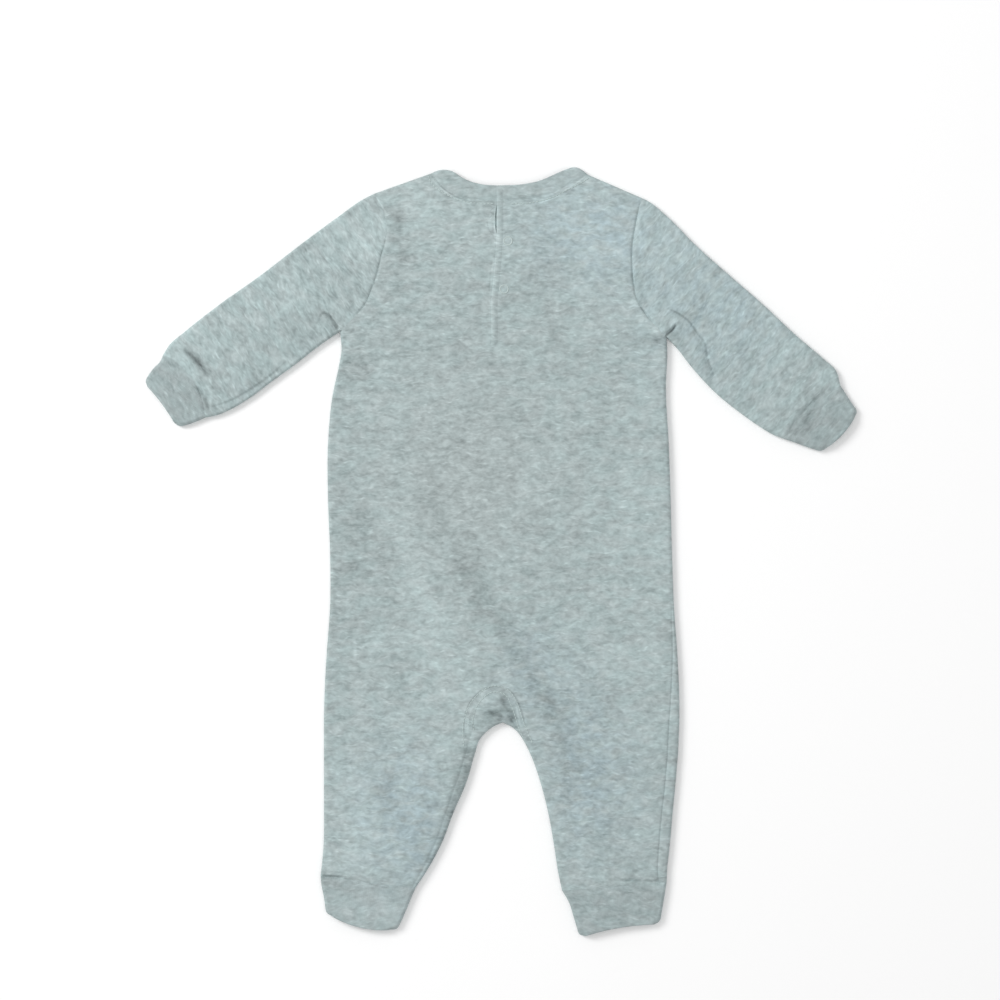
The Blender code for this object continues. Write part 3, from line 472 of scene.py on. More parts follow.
# A positive height is a ridge. Reach is how far it spreads on the left and on the right of the line's run.
# Tapers are the shares of its length over which each end dies out.
Crease = namedtuple("Crease", "points height left_reach right_reach tapers", defaults=((0.25, 0.25),))
CREASES = table(Crease, [
    # Left shoulder, seat, right leg and crotch
    ([(-76.5, 261), (-72.8, 250), (-74.3, 235), (-78, 219.5)], -1.1, 4, 6),
    ([(-45.4, 24.2), *DIAGONAL, (35, -118)], -1.4, 13, 8), (SEAT_BAND, 0.7, 13, 14),
    ([(26, -100), (36, -125), (46, -150), (52.9, -194.1), (54, -222)], -1.1, 7, 6), (WEDGE, -1.5, 3, 2.2, (0.3, 0.1)),
    (CRESCENT, -1.3, 2, 4.2, (0.3, 0.05)),
    # Below the opening, and at the armholes
    ([(-7.4, 154), (-8.6, 138), (-8, 122)], 0.5, 1.8, 2.4, (0.1, 0.5)),
    ([(-103.2, 175), (-109, 166), (-113.5, 156)], -0.8, 5, 4),
    ([(103, 163.5), (112, 158.5), (119.5, 154.5)], -1.7, 4.2, 3.4, (0.4, 0.25)),
    ([(120.1, 156.4), (121.1, 158.7), (124.8, 163.1), (127.1, 165.2), (128.7, 168), (129.4, 170.1)], -1.9, 1.2, 2.6,
     (0.4, 0.3)),
    # Left wrist
    (CUFF_LEFT_UPPER, -2.8, 3.2, 1.6, (0.3, 0.2)), (CUFF_LEFT_LOWER, -1.4, 1.4, 2.6, (0.3, 0.15)),
    ([(-216.5, 125), (-214.9, 117.6), (-214.7, 109.3)], 0.8, 2.2, 1.6),
    # Armpits and underarms
    ([(-138.9, 165.7), (-135, 171.2), (-132.2, 176.8), *HOOK], -1.5, 0.9, 2.4, (0.6, 0.03)),
    ([(-134.5, 179), (-129, 180.8), (-123, 177), (-118.5, 169)], 0.6, 2.2, 1.6),
    ([(-133, 174), (-141, 161), (-150, 149.5), (-160, 139.8)], -0.4, 6, 4),
    ([(-155, 144.5), (-171.5, 130.5), (-186, 120.4), (-201, 112), (-218, 106.5)], -0.9, 7, 0.9, (0.2, 0.1)),
    ([(119.7, 183.4), (124.8, 180), (134.5, 174.9), (142.3, 166.6), (149.4, 157.4), (153.1, 142.6), (158.1, 130.2),
     (163, 122)], -1.5, 0.8, 3),
    ([(122.5, 211.4), (118.8, 198), (121.8, 185.5)], 0.6, 2.5, 2),
    # The opening, the body and the left leg
    ([(-13, 220.6), (-7, 220), (-1, 220.6)], -0.8, 1.4, 1.4), ([(-112, 61), (-114.5, 28), (-115.7, -5.4)], -0.7, 8, 7),
    ([(43.4, 224), (50, 206), (54.5, 187)], -0.6, 9, 8), ([(73, 187), (88, 172), (102.6, 157.4)], 0.7, 9, 9),
    ([(-81, -160.8), (-84, -183), (-86, -205)], -1, 8, 10),
    ([(-103, -153), (-105, -183), (-104.6, -212.6)], 0.7, 8, 8),
    # Ankles, right wrist and sleeves
    ([(88, -242.6), (100, -243.2), (119, -244.2)], -2.6, 1.2, 0.8, (0.25, 0.05)),
    ([(-134.5, -239.8), (-125, -240), (-114, -240.8)], -2.6, 0.8, 1.2, (0.05, 0.3)),
    ([(249, 129.5), (237.6, 118.5), (226, 105), (212, 86.5)], -0.8, 6, 1.8, (0.15, 0.1)),
    ([(195, 150), (184, 138), (178, 122)], -0.7, 6, 5), ([(-160, 205), (-166, 190), (-168, 172)], -0.6, 7, 6),
])

# The side on the table has its own seams and a few soft folds, which lift the cloth a little off the table.
HIDDEN_DEPTH = 0.55
HIDDEN_WIDTH = 1.1
HIDDEN_SEAMS = [Seam(line, HIDDEN_DEPTH, HIDDEN_WIDTH) for line in (
    LEFT.armhole, RIGHT.armhole, *[cross_line(tube) for tube in CUFF_TUBES], FRONT_NECK_SEAM)]
HIDDEN_CREASES = table(Crease, [
    ([(-30, 215), (-52, 196), (-84, 172), (-101, 158)], 0.55, 6, 4), ([(44, 206), (63, 184), (92, 163)], 0.5, 4, 6),
    ([(-14, 96), (9, 71), (19, 34), (14, -6)], 0.45, 7, 5), ([(-104, 88), (-98, 52), (-109, 14)], 0.4, 5, 7),
    ([(12, -112), (40, -88), (78, -72), (106, -70)], 0.6, 5, 4), ([(-16, -118), (-45, -101), (-76, -94)], 0.5, 4, 5.5),
    ([(-84, -148), (-96, -184), (-92, -221)], 0.45, 6, 5), ([(72, -139), (86, -171), (78, -214)], 0.55, 5, 6),
    ([(-124, 194), (-151, 171), (-187, 146)], 0.45, 5, 4), ([(133, 205), (152, 168), (181, 139)], 0.5, 4, 5),
    ([(206, 139), (216, 122), (221, 101)], 0.35, 3, 4),
])

# Broad rises and hollows: centre, half widths across and along, height
Rise = namedtuple("Rise", "x y across along height")
RISES = table(Rise, [
    (-46, -50, 34, 42, 0.8), (60, 60, 45, 60, 0.6), (-60, 120, 40, 45, -0.5), (-90, -205, 26, 30, 0.6),
    (85, -150, 24, 50, 0.7), (-40, 215, 26, 18, 0.5),
])
print(len(SEAMS), "seams,", len(CREASES), "creases,", len(RISES), "rises;", len(HIDDEN_CREASES), "hidden creases")

# %% Height of the upper layer
CROWN = 3
CROWN_REACH = 42
CROWN_SWELL = 1.25         # above 1, the crown rises more slowly from its folds
CALM = 7                   # the slow relief dies out this near a fold
SEAM_CALM = 3              # creases and seams die out this near a fold
HEM_RISE = 8               # an open edge lies as high as a place this far from a fold
LOWEST = 3.2               # no crease presses the upper layer below this
SOFT_FLOOR = 1.2
WAVES = [(0.35, 37, 3), (0.20, 15, 4), (0.08, 5.5, 5)]    # height, cell and seed of the slow relief
WAVE_CELLS = 64            # the relief repeats after this many cells
WAVE_SHIFT = 20            # how many cells the relief is moved over the garment
CREASE_REACHES = 3         # a crease or stroke is nothing this many reaches away
SEAM_WIDTHS = 4
NOWHERE = np.s_[:0]        # picks no place


def soft_step(values):
    """A smooth rise from 0 to 1."""
    values = np.clip(values, 0, 1)
    return values * values * (3 - 2 * values)


def slow_waves(places, cell, seed):
    """Smooth random rises and hollows between -1 and 1, about a cell wide, the same on each run."""
    heights = np.random.default_rng(seed).uniform(-1.0, 1.0, (WAVE_CELLS, WAVE_CELLS))
    at = places / cell + WAVE_SHIFT
    corner = np.floor(at).astype(int)
    mix_x, mix_y = soft_step(at - corner).T
    (near_x, near_y), (far_x, far_y) = (corner % WAVE_CELLS).T, ((corner + 1) % WAVE_CELLS).T
    low = heights[near_x, near_y] * (1 - mix_x) + heights[far_x, near_y] * mix_x
    high = heights[near_x, far_y] * (1 - mix_x) + heights[far_x, far_y] * mix_x
    return low * (1 - mix_y) + high * mix_y


def spread(places, spot):
    """The weight of a round spot or rise at each place."""
    return np.exp(-(((places - (spot.x, spot.y)) / (spot.across, spot.along)) ** 2).sum(axis=1))


def near_box(places, line, margin):
    """Which places lie in the box round a line, with a margin."""
    line = np.array(line)
    return ((places > line.min(0) - margin) & (places < line.max(0) + margin)).all(axis=1)


def near_row(places, row, margin=0):
    """Which places lie near a crease or stroke, how far from it, the same in reaches, and its strength there."""
    near = near_box(places, row.points, CREASE_REACHES * max(row.left_reach, row.right_reach) + margin)
    away, share = along_line(places[near], seam_line(row.points))
    scaled = away / np.where(away > 0, row.left_reach, row.right_reach)
    return near, away, scaled, soft_step(share / row.tapers[0]) * soft_step((1 - share) / row.tapers[1])


def pressed(places, crease):
    """Which places a crease reaches, and its height there."""
    near, _, scaled, strength = near_row(places, crease)
    return near, crease.height * np.exp(-scaled**2) * strength


def groove(places, seam):
    """Which places a seam reaches, and its depth there."""
    near = near_box(places, seam.line, SEAM_WIDTHS * seam.width)
    away, share = along_line(places[near], seam.line)
    return near, seam.depth * np.interp(share, *zip(*seam.fades)) * np.exp(-(away / seam.width) ** 2)


def nearest(places, lines):
    """The distance of each place to the nearest of some lines."""
    return np.min([np.abs(along_line(places, line)[0]) for line in lines], axis=0)


def crown(places, to_fold):
    """Height of the upper layer's face without its folds."""
    inland = np.minimum(to_fold, nearest(places, HEMS) + HEM_RISE)
    share = np.clip((inland - FOLD) / CROWN_REACH, 0, 1)
    height = 2 * FOLD + CROWN * np.sin(share * math.pi / 2) ** CROWN_SWELL
    relief = sum(size * slow_waves(places, cell, seed) for size, cell, seed in WAVES)
    relief += sum(rise.height * spread(places, rise) for rise in RISES)
    height += relief * soft_step(inland / CALM)
    calm = soft_step(inland / SEAM_CALM)
    for crease in CREASES:
        near, rise = pressed(places, crease)
        height[near] += rise * calm[near]
    for seam in SEAMS:
        near, depth = groove(places, seam)
        height[near] -= depth * calm[near]
    low = height < LOWEST + SOFT_FLOOR
    height[low] = LOWEST + SOFT_FLOOR * np.exp((height[low] - LOWEST - SOFT_FLOOR) / SOFT_FLOOR)
    return height


def hidden_lift(places):
    """How far the hidden seams and creases lift places of the lower layer off the table."""
    lift = np.zeros(len(places))
    for near, height in ([groove(places, seam) for seam in HIDDEN_SEAMS]
                         + [pressed(places, crease) for crease in HIDDEN_CREASES]):
        lift[near] = np.maximum(lift[near], height)
    return lift


def fold_shares(places, on_fold):
    """Distances to the nearest fold, and how far each place is from the fold's level: 1 past its radius."""
    to_fold = nearest(places.reshape(-1, 2), FOLDS)
    share = np.sqrt(np.maximum(0, 1 - (1 - np.clip(to_fold / FOLD, 0, 1)) ** 2)).reshape(places.shape[:-1])
    share[on_fold] = 0
    return to_fold, share


def on_top(places, on_fold=NOWHERE):
    """Places of the upper layer with their heights. on_fold picks the ones that lie on a fold."""
    to_fold, share = fold_shares(places, on_fold)
    height = FOLD + (crown(places.reshape(-1, 2), to_fold).reshape(share.shape) - FOLD) * share
    return np.concatenate([places, height[..., None]], axis=-1)


def underneath(places, on_fold=NOWHERE):
    """Places of the lower layer, flat on the table with its edges turned up."""
    share = fold_shares(places, on_fold)[1]
    height = FOLD * (1 - share) + hidden_lift(places.reshape(-1, 2)).reshape(share.shape) * share
    return np.concatenate([places, height[..., None]], axis=-1)


sample = on_top(np.array([[-60, 100], [-128, 40], [0, -40]]))
print("heights in mm at chest, side and seat:", sample[:, 2].round(2).tolist())

# %% [markdown]
# ## From rows to a panel of cloth
#
# A panel is a grid of places, welded where two halves meet. Its UV map is the flat cut: the knit's rows run
# across the body and across the sleeves, so each piece says which way its knit runs. The wall comes from a
# Solidify modifier that grows inwards, which leaves the outer face where the table puts it.

# %% Building one piece
WALL = 1.2
ALONG_BODY = (0, 1)
UV_MIDDLE = 0.4            # metres, so that the map stays positive
TOP_LEVEL = 0.003          # metres: faces above this belong to the upper layer
WELD = 2e-6


def mesh_points(mesh):
    """The places of a mesh's vertices, in metres."""
    points = np.empty(len(mesh.vertices) * 3)
    mesh.vertices.foreach_get("co", points)
    return points.reshape(-1, 3)


def add_numbers(mesh, label, numbers, kind="FLOAT", domain="POINT"):
    """A named attribute of a mesh."""
    mesh.attributes.new(label, kind, domain).data.foreach_set("value", numbers)


def knit_map(mesh, along):
    """A UV map in metres whose second axis follows the length of the piece."""
    along = unit(np.array(along, float))
    across = np.array([along[1], -along[0]])
    corners = np.empty(len(mesh.loops), int)
    mesh.loops.foreach_get("vertex_index", corners)
    flat = mesh_points(mesh)[:, :2]
    uv = np.stack([flat @ across + UV_MIDDLE, flat @ along + UV_MIDDLE], axis=1)[corners]
    mesh.uv_layers.new(name="knit").data.foreach_set("uv", uv.reshape(-1))


def cloth_piece(name, grids, along=ALONG_BODY, wall=WALL, up=True):
    """A piece of cloth from grids of places in millimetres; a cell with a missing corner is left out.

    A fourth number of a place says how far it lies round a band, for the ribs.
    """
    faces, start = [], 0
    for grid in grids:
        index = np.arange(grid[..., 0].size).reshape(grid.shape[:2]) + start
        there = ~np.isnan(grid[..., 0])
        whole = there[:-1, :-1] & there[1:, :-1] & there[:-1, 1:] & there[1:, 1:]
        cells = np.stack([index[:-1, :-1], index[:-1, 1:], index[1:, 1:], index[1:, :-1]], axis=-1)
        faces += cells[whole].tolist()
        start += index.size
    points = np.concatenate([np.nan_to_num(grid.reshape(-1, grid.shape[-1])) * MM for grid in grids])
    mesh = bpy.data.meshes.new(name)
    mesh.from_pydata(points[:, :3].tolist(), [], faces)
    if points.shape[1] > 3:
        add_numbers(mesh, "around", points[:, 3].copy())
    work = bmesh.new()
    work.from_mesh(mesh)
    bmesh.ops.delete(work, geom=[vert for vert in work.verts if not vert.link_faces], context="VERTS")
    bmesh.ops.remove_doubles(work, verts=work.verts, dist=WELD)
    bmesh.ops.recalc_face_normals(work, faces=work.faces)
    layer = [face for face in work.faces if (face.calc_center_median().z > TOP_LEVEL) == up]
    if (sum(face.normal.z * face.calc_area() for face in layer) > 0) != up:
        bmesh.ops.reverse_faces(work, faces=work.faces)
    work.to_mesh(mesh)
    open_edges = [edge.is_boundary for edge in work.edges]
    work.free()
    mesh.shade_smooth()
    add_numbers(mesh, "sharp_edge", open_edges, "BOOLEAN", "EDGE")
    knit_map(mesh, along)
    piece = add_object(name, mesh)
    if wall:
        solid = piece.modifiers.new("wall", "SOLIDIFY")
        solid.thickness, solid.offset, solid.use_even_offset = wall * MM, -1, False
    return piece


def cloth_area(piece):
    """The area of the cloth's outer face, in square metres."""
    return sum(polygon.area for polygon in piece.data.polygons)


# %% The back
EDGE_STEPS = np.array([0, 0.35, 0.8, 1.35, 2.1, 3.1, 4.5, 6.3])
BACK_MIDDLE = 54


def back_rows(half):
    """Rows of one half of the back, which ends at its seams: close together near both ends, even between."""
    start = np.vstack([half.back_inner[:-1], half.inner_fold + half.inner_into * half.inner_inset[:, None]])
    end = np.vstack([half.fold[:half.armpit], half.fold[half.armpit:] + half.into * half.inset[:, None]])
    run = unit(end - start)[:, None, :]
    first = start[:, None, :] + run * EDGE_STEPS[None, :, None]
    last = end[:, None, :] - run * EDGE_STEPS[None, ::-1, None]
    at = np.linspace(0, 1, BACK_MIDDLE + 2)[1:-1][None, :, None]
    between = first[:, -1:] * (1 - at) + last[:, :1] * at
    return on_top(np.concatenate([first, between, last], axis=1), 0)


back = cloth_piece("back_cloth", [back_rows(LEFT), back_rows(RIGHT)])
print("back:", len(back.data.polygons), "faces,", round(cloth_area(back), 4), "square metres")

# %% The front
STRIP_SHARES = np.array([1, 0.85, 0.7, 0.54, 0.4, 0.27, 0.16, 0.08, 0.03])
ROLL_STEPS = np.array([0.04, 0.15, 0.35, 0.65, 1]) * FOLD
FRONT_MIDDLE = 46


def folded_end(fold, into, inset):
    """The front's cloth at a fold: the strip on the back, the fold, and the roll to the table."""
    strip = fold[:, None] + into[:, None] * (inset[:, None] * STRIP_SHARES)[..., None]
    roll = fold[:, None] + into[:, None] * ROLL_STEPS[None, :, None]
    rim = np.concatenate([fold, np.full((len(fold), 1), FOLD)], axis=1)[:, None]
    return np.concatenate([on_top(strip), rim, underneath(roll)], axis=1)


def front_rows(half):
    """Rows of one half of the front, from the strip at the inner leg to the strip at the side."""
    inner_end, outer_end = np.full((2, len(half.fold), len(STRIP_SHARES) + 1 + len(ROLL_STEPS), 3), np.nan)
    inner_end[half.crotch:] = folded_end(half.inner_fold, half.inner_into, half.inner_inset)
    outer_end[half.armpit:] = folded_end(half.fold[half.armpit:], half.into, half.inset)
    start = np.vstack([half.front_inner[:-1], inner_end[half.crotch:, -1, :2]])[:, None]
    end = np.vstack([half.fold[:half.armpit], outer_end[half.armpit:, -1, :2]])[:, None]
    at = np.linspace(0, 1, FRONT_MIDDLE)[None, :, None]
    middle = underneath(start * (1 - at) + end * at, 0)
    return np.concatenate([inner_end[:, :-1], middle, outer_end[:, -2::-1]], axis=1)


front = cloth_piece("front_cloth", [front_rows(LEFT), front_rows(RIGHT)], up=False)
print("front:", len(front.data.polygons), "faces,", round(cloth_area(front), 4), "square metres")

# %% The sleeves
SLEEVE_MIDDLE = 92
ROUND_STEPS = np.array([0, 0.03, 0.12, 0.27, 0.47, 0.72, 1]) * FOLD
SLEEVE_RUN_LEFT = (0.81, 0.58)
SLEEVE_RUN_RIGHT = (-0.74, 0.67)


def tube_places(tube, armhole, middle, row):
    """Places across a tube in one row, from its upper to its lower fold."""
    ends = ROUND_STEPS / float(np.linalg.norm(tube.lower[row] - tube.upper[row]))
    shares = np.concatenate([ends, np.linspace(ends[-1], 1 - ends[-1], middle + 2)[1:-1], 1 - ends[::-1]])
    chain = section_chain(tube, row, shares)
    if armhole is not None:
        lengths = run_lengths(armhole)
        curve = np.stack([np.interp(shares * lengths[-1], lengths, places) for places in armhole.T], axis=1)
        straight = armhole[0] + (armhole[-1] - armhole[0]) * shares[:, None]
        chain += (curve - straight) * tube.armhole[row]
    return chain


def tube_rings(tube, armhole, middle):
    """Closed rings round a flattened tube, one for each row."""
    places = np.array([tube_places(tube, armhole, middle, row) for row in range(len(tube.upper))])
    both_folds = np.s_[:, [0, -1]]
    return np.concatenate([on_top(places, both_folds), underneath(places, both_folds)[:, -2::-1]], axis=1)


sleeve_left = cloth_piece("sleeve_cloth_left", [tube_rings(sleeve_l, LEFT.armhole, SLEEVE_MIDDLE)], SLEEVE_RUN_LEFT)
sleeve_right = cloth_piece("sleeve_cloth_right", [tube_rings(sleeve_r, RIGHT.armhole, SLEEVE_MIDDLE)],
                           SLEEVE_RUN_RIGHT)
print("sleeves:", len(sleeve_left.data.polygons), len(sleeve_right.data.polygons), "faces")

# %% [markdown]
# ## Cuffs and neckband
#
# A cuff is a band of rib folded double. One sheet of cloth makes it: out along the outer face, round the soft
# hem, and back along the inner face. Its fine ribs come later from a small Geometry Nodes tree.

# %% Doubled bands
HEM_RADIUS = 0.95
ROLL_ANGLES = np.radians([25, 50, 75, 100, 125, 150, 180])
HEM_SOFTNESS = 8           # columns on each side over which an open band's direction is averaged
UPPER_LAYER = 4            # millimetres: what lies higher is the upper layer


def doubled(outer, closed):
    """The whole cloth of a doubled band, from its outer face. Row 0 is its seam, the last row its hem."""
    outward = unit(outer[-1] - outer[-3]) * (1, 1, 0)
    if closed:
        outward = np.broadcast_to(unit(outward.mean(axis=0)), outward.shape)
        ring = np.concatenate([outer[:, -2:-1], outer, outer[:, 1:2]], axis=1)
        across = ring[:, 2:] - ring[:, :-2]
    else:
        padded = np.pad(outward, ((HEM_SOFTNESS, HEM_SOFTNESS), (0, 0)), mode="edge")
        outward = unit(np.array([padded[at:at + 2 * HEM_SOFTNESS + 1].mean(axis=0) for at in range(len(outward))]))
        across = np.gradient(outer, axis=1)
    inward = unit(np.cross(unit(across), outward[None]))
    if inward[..., 2][outer[..., 2] > UPPER_LAYER].mean() > 0:
        inward = -inward
    # The roll is full where the two layers lie apart, and shrinks to nothing on a fold.
    fullness = np.clip(np.abs(outer[-1, :, 2:] - FOLD) / FOLD, 0, 1)
    taper = np.linspace(0, 1, len(outer))[:, None, None] ** 2
    face = outer - outward[None] * HEM_RADIUS * fullness[None] * taper
    roll = [face[-1] + outward * HEM_RADIUS * fullness * math.sin(angle)
            + inward[-1] * HEM_RADIUS * (1 - math.cos(angle)) for angle in ROLL_ANGLES]
    return np.concatenate([face, roll, (face + inward * 2 * HEM_RADIUS)[-2::-1]], axis=0)


def with_around(grid, around):
    """A band's grid with a fourth number: how far each column lies round the band."""
    return np.concatenate([grid, np.broadcast_to(around[None, :, None], grid.shape[:2] + (1,))], axis=-1)


def cuff_piece(name, tube, middle, along):
    """A doubled cuff on a flattened tube."""
    outer = tube_rings(tube, None, middle)
    girth = np.linalg.norm(np.diff(outer[0], axis=0), axis=1).sum()
    return cloth_piece(name, [with_around(doubled(outer, True), np.linspace(0, girth, outer.shape[1]))], along, wall=0)


WRIST_MIDDLE = 150         # columns across each layer
ANKLE_MIDDLE = 190
cuffs = [cuff_piece(*row) for row in (
    ("wrist_rib_left", wrist_l, WRIST_MIDDLE, SLEEVE_RUN_LEFT),
    ("wrist_rib_right", wrist_r, WRIST_MIDDLE, SLEEVE_RUN_RIGHT),
    ("ankle_rib_left", ankle_l, ANKLE_MIDDLE, (0.1, -1)), ("ankle_rib_right", ankle_r, ANKLE_MIDDLE, (0.1, 1)))]
print("cuffs:", [len(piece.data.polygons) for piece in cuffs], "faces")

# %% The neckband
BAND_SHARES = np.linspace(0, 1, 11)
BAND_STEP = 0.5
SHOULDER_REACH = 6         # how far from its fold the band bulges over the shoulder


def band_half(yoke, free_back, free_front, fold_point, side):
    """The band's outer face from the opening, over the shoulder fold, to the middle of the front."""
    back_seam = columns(yoke[:NECK_CORNER + 1], "back_x", "back_y")[::-1]
    front_seam = columns(yoke[:FRONT_CORNER[side] + 1], "front_x", "front_y")
    at = BAND_SHARES[:, None, None]
    parts = []
    for seam, free, shoulder, layer in ((back_seam, free_back[::-1], -1, on_top),
                                        (front_seam, free_front, 0, underneath)):
        shares = even_shares(BAND_STEP, seam, free)
        seam, free = soft_curve(seam, shares), soft_curve(free, shares)
        middle = (seam[shoulder] + free[shoulder]) / 2
        near = np.exp(-np.linalg.norm(seam - seam[shoulder], axis=1) / SHOULDER_REACH)
        bulge = 4 * at * (1 - at) * (fold_point - middle) * near[None, :, None]
        parts.append(layer(seam[None] * (1 - at) + free[None] * at + bulge, np.s_[:, shoulder]))
    return np.concatenate([parts[0], parts[1][:, 1:]], axis=1)


band_left = band_half(YOKE_LEFT, BAND_LEFT_BACK, BAND_LEFT_FRONT, BAND_FOLD_LEFT, -1)
band_right = band_half(YOKE_RIGHT, BAND_RIGHT_BACK, BAND_RIGHT_FRONT, BAND_FOLD_RIGHT, 1)
band = np.concatenate([band_left, band_right[:, -2::-1]], axis=1)
band_run = run_lengths(band[0])
band_grid = with_around(doubled(band, False), band_run)
# At the opening a cap joins the band's outer face to its inner face.
caps = [np.stack([band_grid[:len(band), end], band_grid[:-len(band) - 1:-1, end]], axis=1) for end in (0, -1)]
neckband = cloth_piece("neck_rib", [band_grid] + caps, wall=0)
print("neckband:", len(neckband.data.polygons), "faces,", round(band_run[-1]), "mm round")

# %% [markdown]
# ## Node trees as sums
#
# Geometry Nodes and materials both work with sockets. A small class wraps a socket, so a wave or a colour can
# be written as a Python sum, and each operator adds its own Math node.

# %% A value class for node trees
class Sock:
    """A socket of a node tree. Python's operators add the Math nodes that work out a sum."""

    def __init__(self, tree, socket):
        self.tree, self.socket = tree, socket

    def maths(self, operation, *values):
        return add_node(self.tree, "ShaderNodeMath", {"operation": operation}, dict(enumerate(values)))

    def held(self):
        """The value kept between 0 and 1."""
        return self.maths("MINIMUM", self.maths("MAXIMUM", self, 0), 1)


# Each sign gets its Math node, and a reflected form for sums that start with a plain number.
for sign, operation in {"add": "ADD", "sub": "SUBTRACT", "mul": "MULTIPLY", "truediv": "DIVIDE"}.items():
    setattr(Sock, f"__{sign}__", lambda self, other, work=operation: self.maths(work, self, other))
    setattr(Sock, f"__r{sign}__", lambda self, other, work=operation: self.maths(work, other, self))


def feed(socket, value):
    """Give an input a number, or link another socket to it."""
    if isinstance(value, Sock):
        value.tree.links.new(value.socket, socket)
    else:
        socket.default_value = value


def add_node(tree, kind, settings=None, values=None, out=0):
    """A node with its settings, and with values for its inputs by name or number. Returns one output."""
    node = tree.nodes.new(kind)
    for key, value in (settings or {}).items():
        setattr(node, key, value)
    for key, value in (values or {}).items():
        feed(node.inputs[key], value)
    return Sock(tree, node.outputs[out])


def size_tree(name, *sizes):
    """A Geometry Nodes tree with a geometry, named sizes and a finish, and the sockets of these inputs."""
    tree = bpy.data.node_groups.new(name, "GeometryNodeTree")
    kinds = {"Geometry": "NodeSocketGeometry", **dict.fromkeys(sizes, "NodeSocketFloat"),
             "Finish": "NodeSocketMaterial"}
    for label, kind in kinds.items():
        tree.interface.new_socket(label, in_out="INPUT", socket_type=kind)
    tree.interface.new_socket("Geometry", in_out="OUTPUT", socket_type="NodeSocketGeometry")
    start = tree.nodes.new("NodeGroupInput")
    return tree, [Sock(tree, start.outputs[label]) for label in kinds]


def end_tree(tree, geometry, finish):
    """Realize the geometry, give it its finish and hand it to the tree's output."""
    plain = add_node(tree, "GeometryNodeRealizeInstances", None, {"Geometry": geometry})
    finished = add_node(tree, "GeometryNodeSetMaterial", None, {"Geometry": plain, "Material": finish})
    feed(tree.nodes.new("NodeGroupOutput").inputs[0], finished)
    return tree


def apply_tree(piece, tree, values):
    """Run a tree on a piece with named values, and keep the result as a plain mesh."""
    modifier = piece.modifiers.new(tree.name, "NODES")
    modifier.node_group = tree
    for item in tree.interface.items_tree:
        if item.in_out == "INPUT" and item.name in values:
            modifier[item.identifier] = values[item.name]
    result = bpy.data.meshes.new_from_object(piece.evaluated_get(bpy.context.evaluated_depsgraph_get()))
    piece.modifiers.clear()
    piece.data = result


# %% [markdown]
# ## The ribs
#
# Rib knit is a row of fine furrows that run along a cuff. A Geometry Nodes tree pushes each vertex in or out
# along its normal by a wave of the attribute called around, so the furrows follow the band wherever it turns.

# %% Rib tree
RIB_PITCH = 1.7
RIB_DEPTH = 0.05


def rib_tree():
    """Furrows of a pitch and depth along the attribute called around."""
    tree, (mesh, pitch, depth, finish) = size_tree("fine_ribs", "Pitch", "Depth")
    around = add_node(tree, "GeometryNodeInputNamedAttribute", {"data_type": "FLOAT"}, {"Name": "around"})
    turns = around / pitch
    push = turns.maths("SINE", turns * (2 * math.pi)) * depth
    normal = add_node(tree, "GeometryNodeInputNormal")
    offset = add_node(tree, "ShaderNodeVectorMath", {"operation": "SCALE"}, {0: normal, "Scale": push})
    moved = add_node(tree, "GeometryNodeSetPosition", None, {"Geometry": mesh, "Offset": offset})
    return end_tree(tree, moved, finish)


ribs = rib_tree()
print("rib pitch", RIB_PITCH, "mm, depth", RIB_DEPTH, "mm")

# %% [markdown]
# ## The opening
#
# The right back carries a narrow folded strip that laps over the left back, and its folded edge catches the
# light. Below the gap lies an under strip, so no skin shows when the left back gapes near the neck.

# %% Strips of the opening
STRIP_LINE = [(-3.5, 271.8), (-3.5, 261.5), (-3.5, 239), (-4.5, 220.5), (-6.5, 198), (-7.5, 187), (-7.5, 172),
              (-7.5, 157), (-7.4, 152.5)]
STRIP_SECTION = np.array([
    (0.9, 0.02), (0.4, 0.03), (0.08, 0.1), (-0.05, 0.24), (0.08, 0.4), (0.45, 0.54), (1, 0.62), (1.7, 0.66),
    (2.5, 0.62), (3.2, 0.48), (3.9, 0.28), (4.6, 0.08), (5.2, -0.12)])
STRIP_SINK = 0.6           # how far the strip's ends sink, and over how many of its rows
STRIP_SINK_ROWS = 4
UNDER_LINE = [(-3.5, 268.5), (-3.5, 239), (-4.5, 220.5), (-6.5, 198), (-7.5, 172), (-7.5, 150)]
STRIP_WALL = 0.3
UNDER_WIDTH = (-9, 8)
UNDER_COLUMNS = 14
UNDER_DEPTH = 1.25
UNDER_WALL = 0.8


def strip_places(line, offsets, lifts, step):
    """Places beside a line that runs down the back, at heights measured from the cloth's top."""
    run = seam_line(line, step)
    places = on_top(run[:, None] + square_to(run, -1)[:, None] * offsets[None, :, None])
    places[..., 2] += lifts
    return places


overlap_grid = strip_places(STRIP_LINE, *STRIP_SECTION.T, 0.8)
to_end = np.minimum(np.arange(len(overlap_grid)), np.arange(len(overlap_grid))[::-1])
overlap_grid[..., 2] -= (1 - soft_step(to_end / STRIP_SINK_ROWS))[:, None] * STRIP_SINK
overlap = cloth_piece("upper_strip_cloth", [overlap_grid], wall=STRIP_WALL)
under_grid = strip_places(UNDER_LINE, np.linspace(*UNDER_WIDTH, UNDER_COLUMNS), -UNDER_DEPTH, 2)
underlap = cloth_piece("under_strip_cloth", [under_grid], wall=UNDER_WALL)
print("strips:", len(overlap.data.polygons), len(underlap.data.polygons), "faces")

# %% [markdown]
# ## Ring snaps
#
# A ring snap is a thin metal ring whose teeth grip the cloth, which domes a little inside it. A small profile
# turned round its axis gives both the ring and the cloth inside.

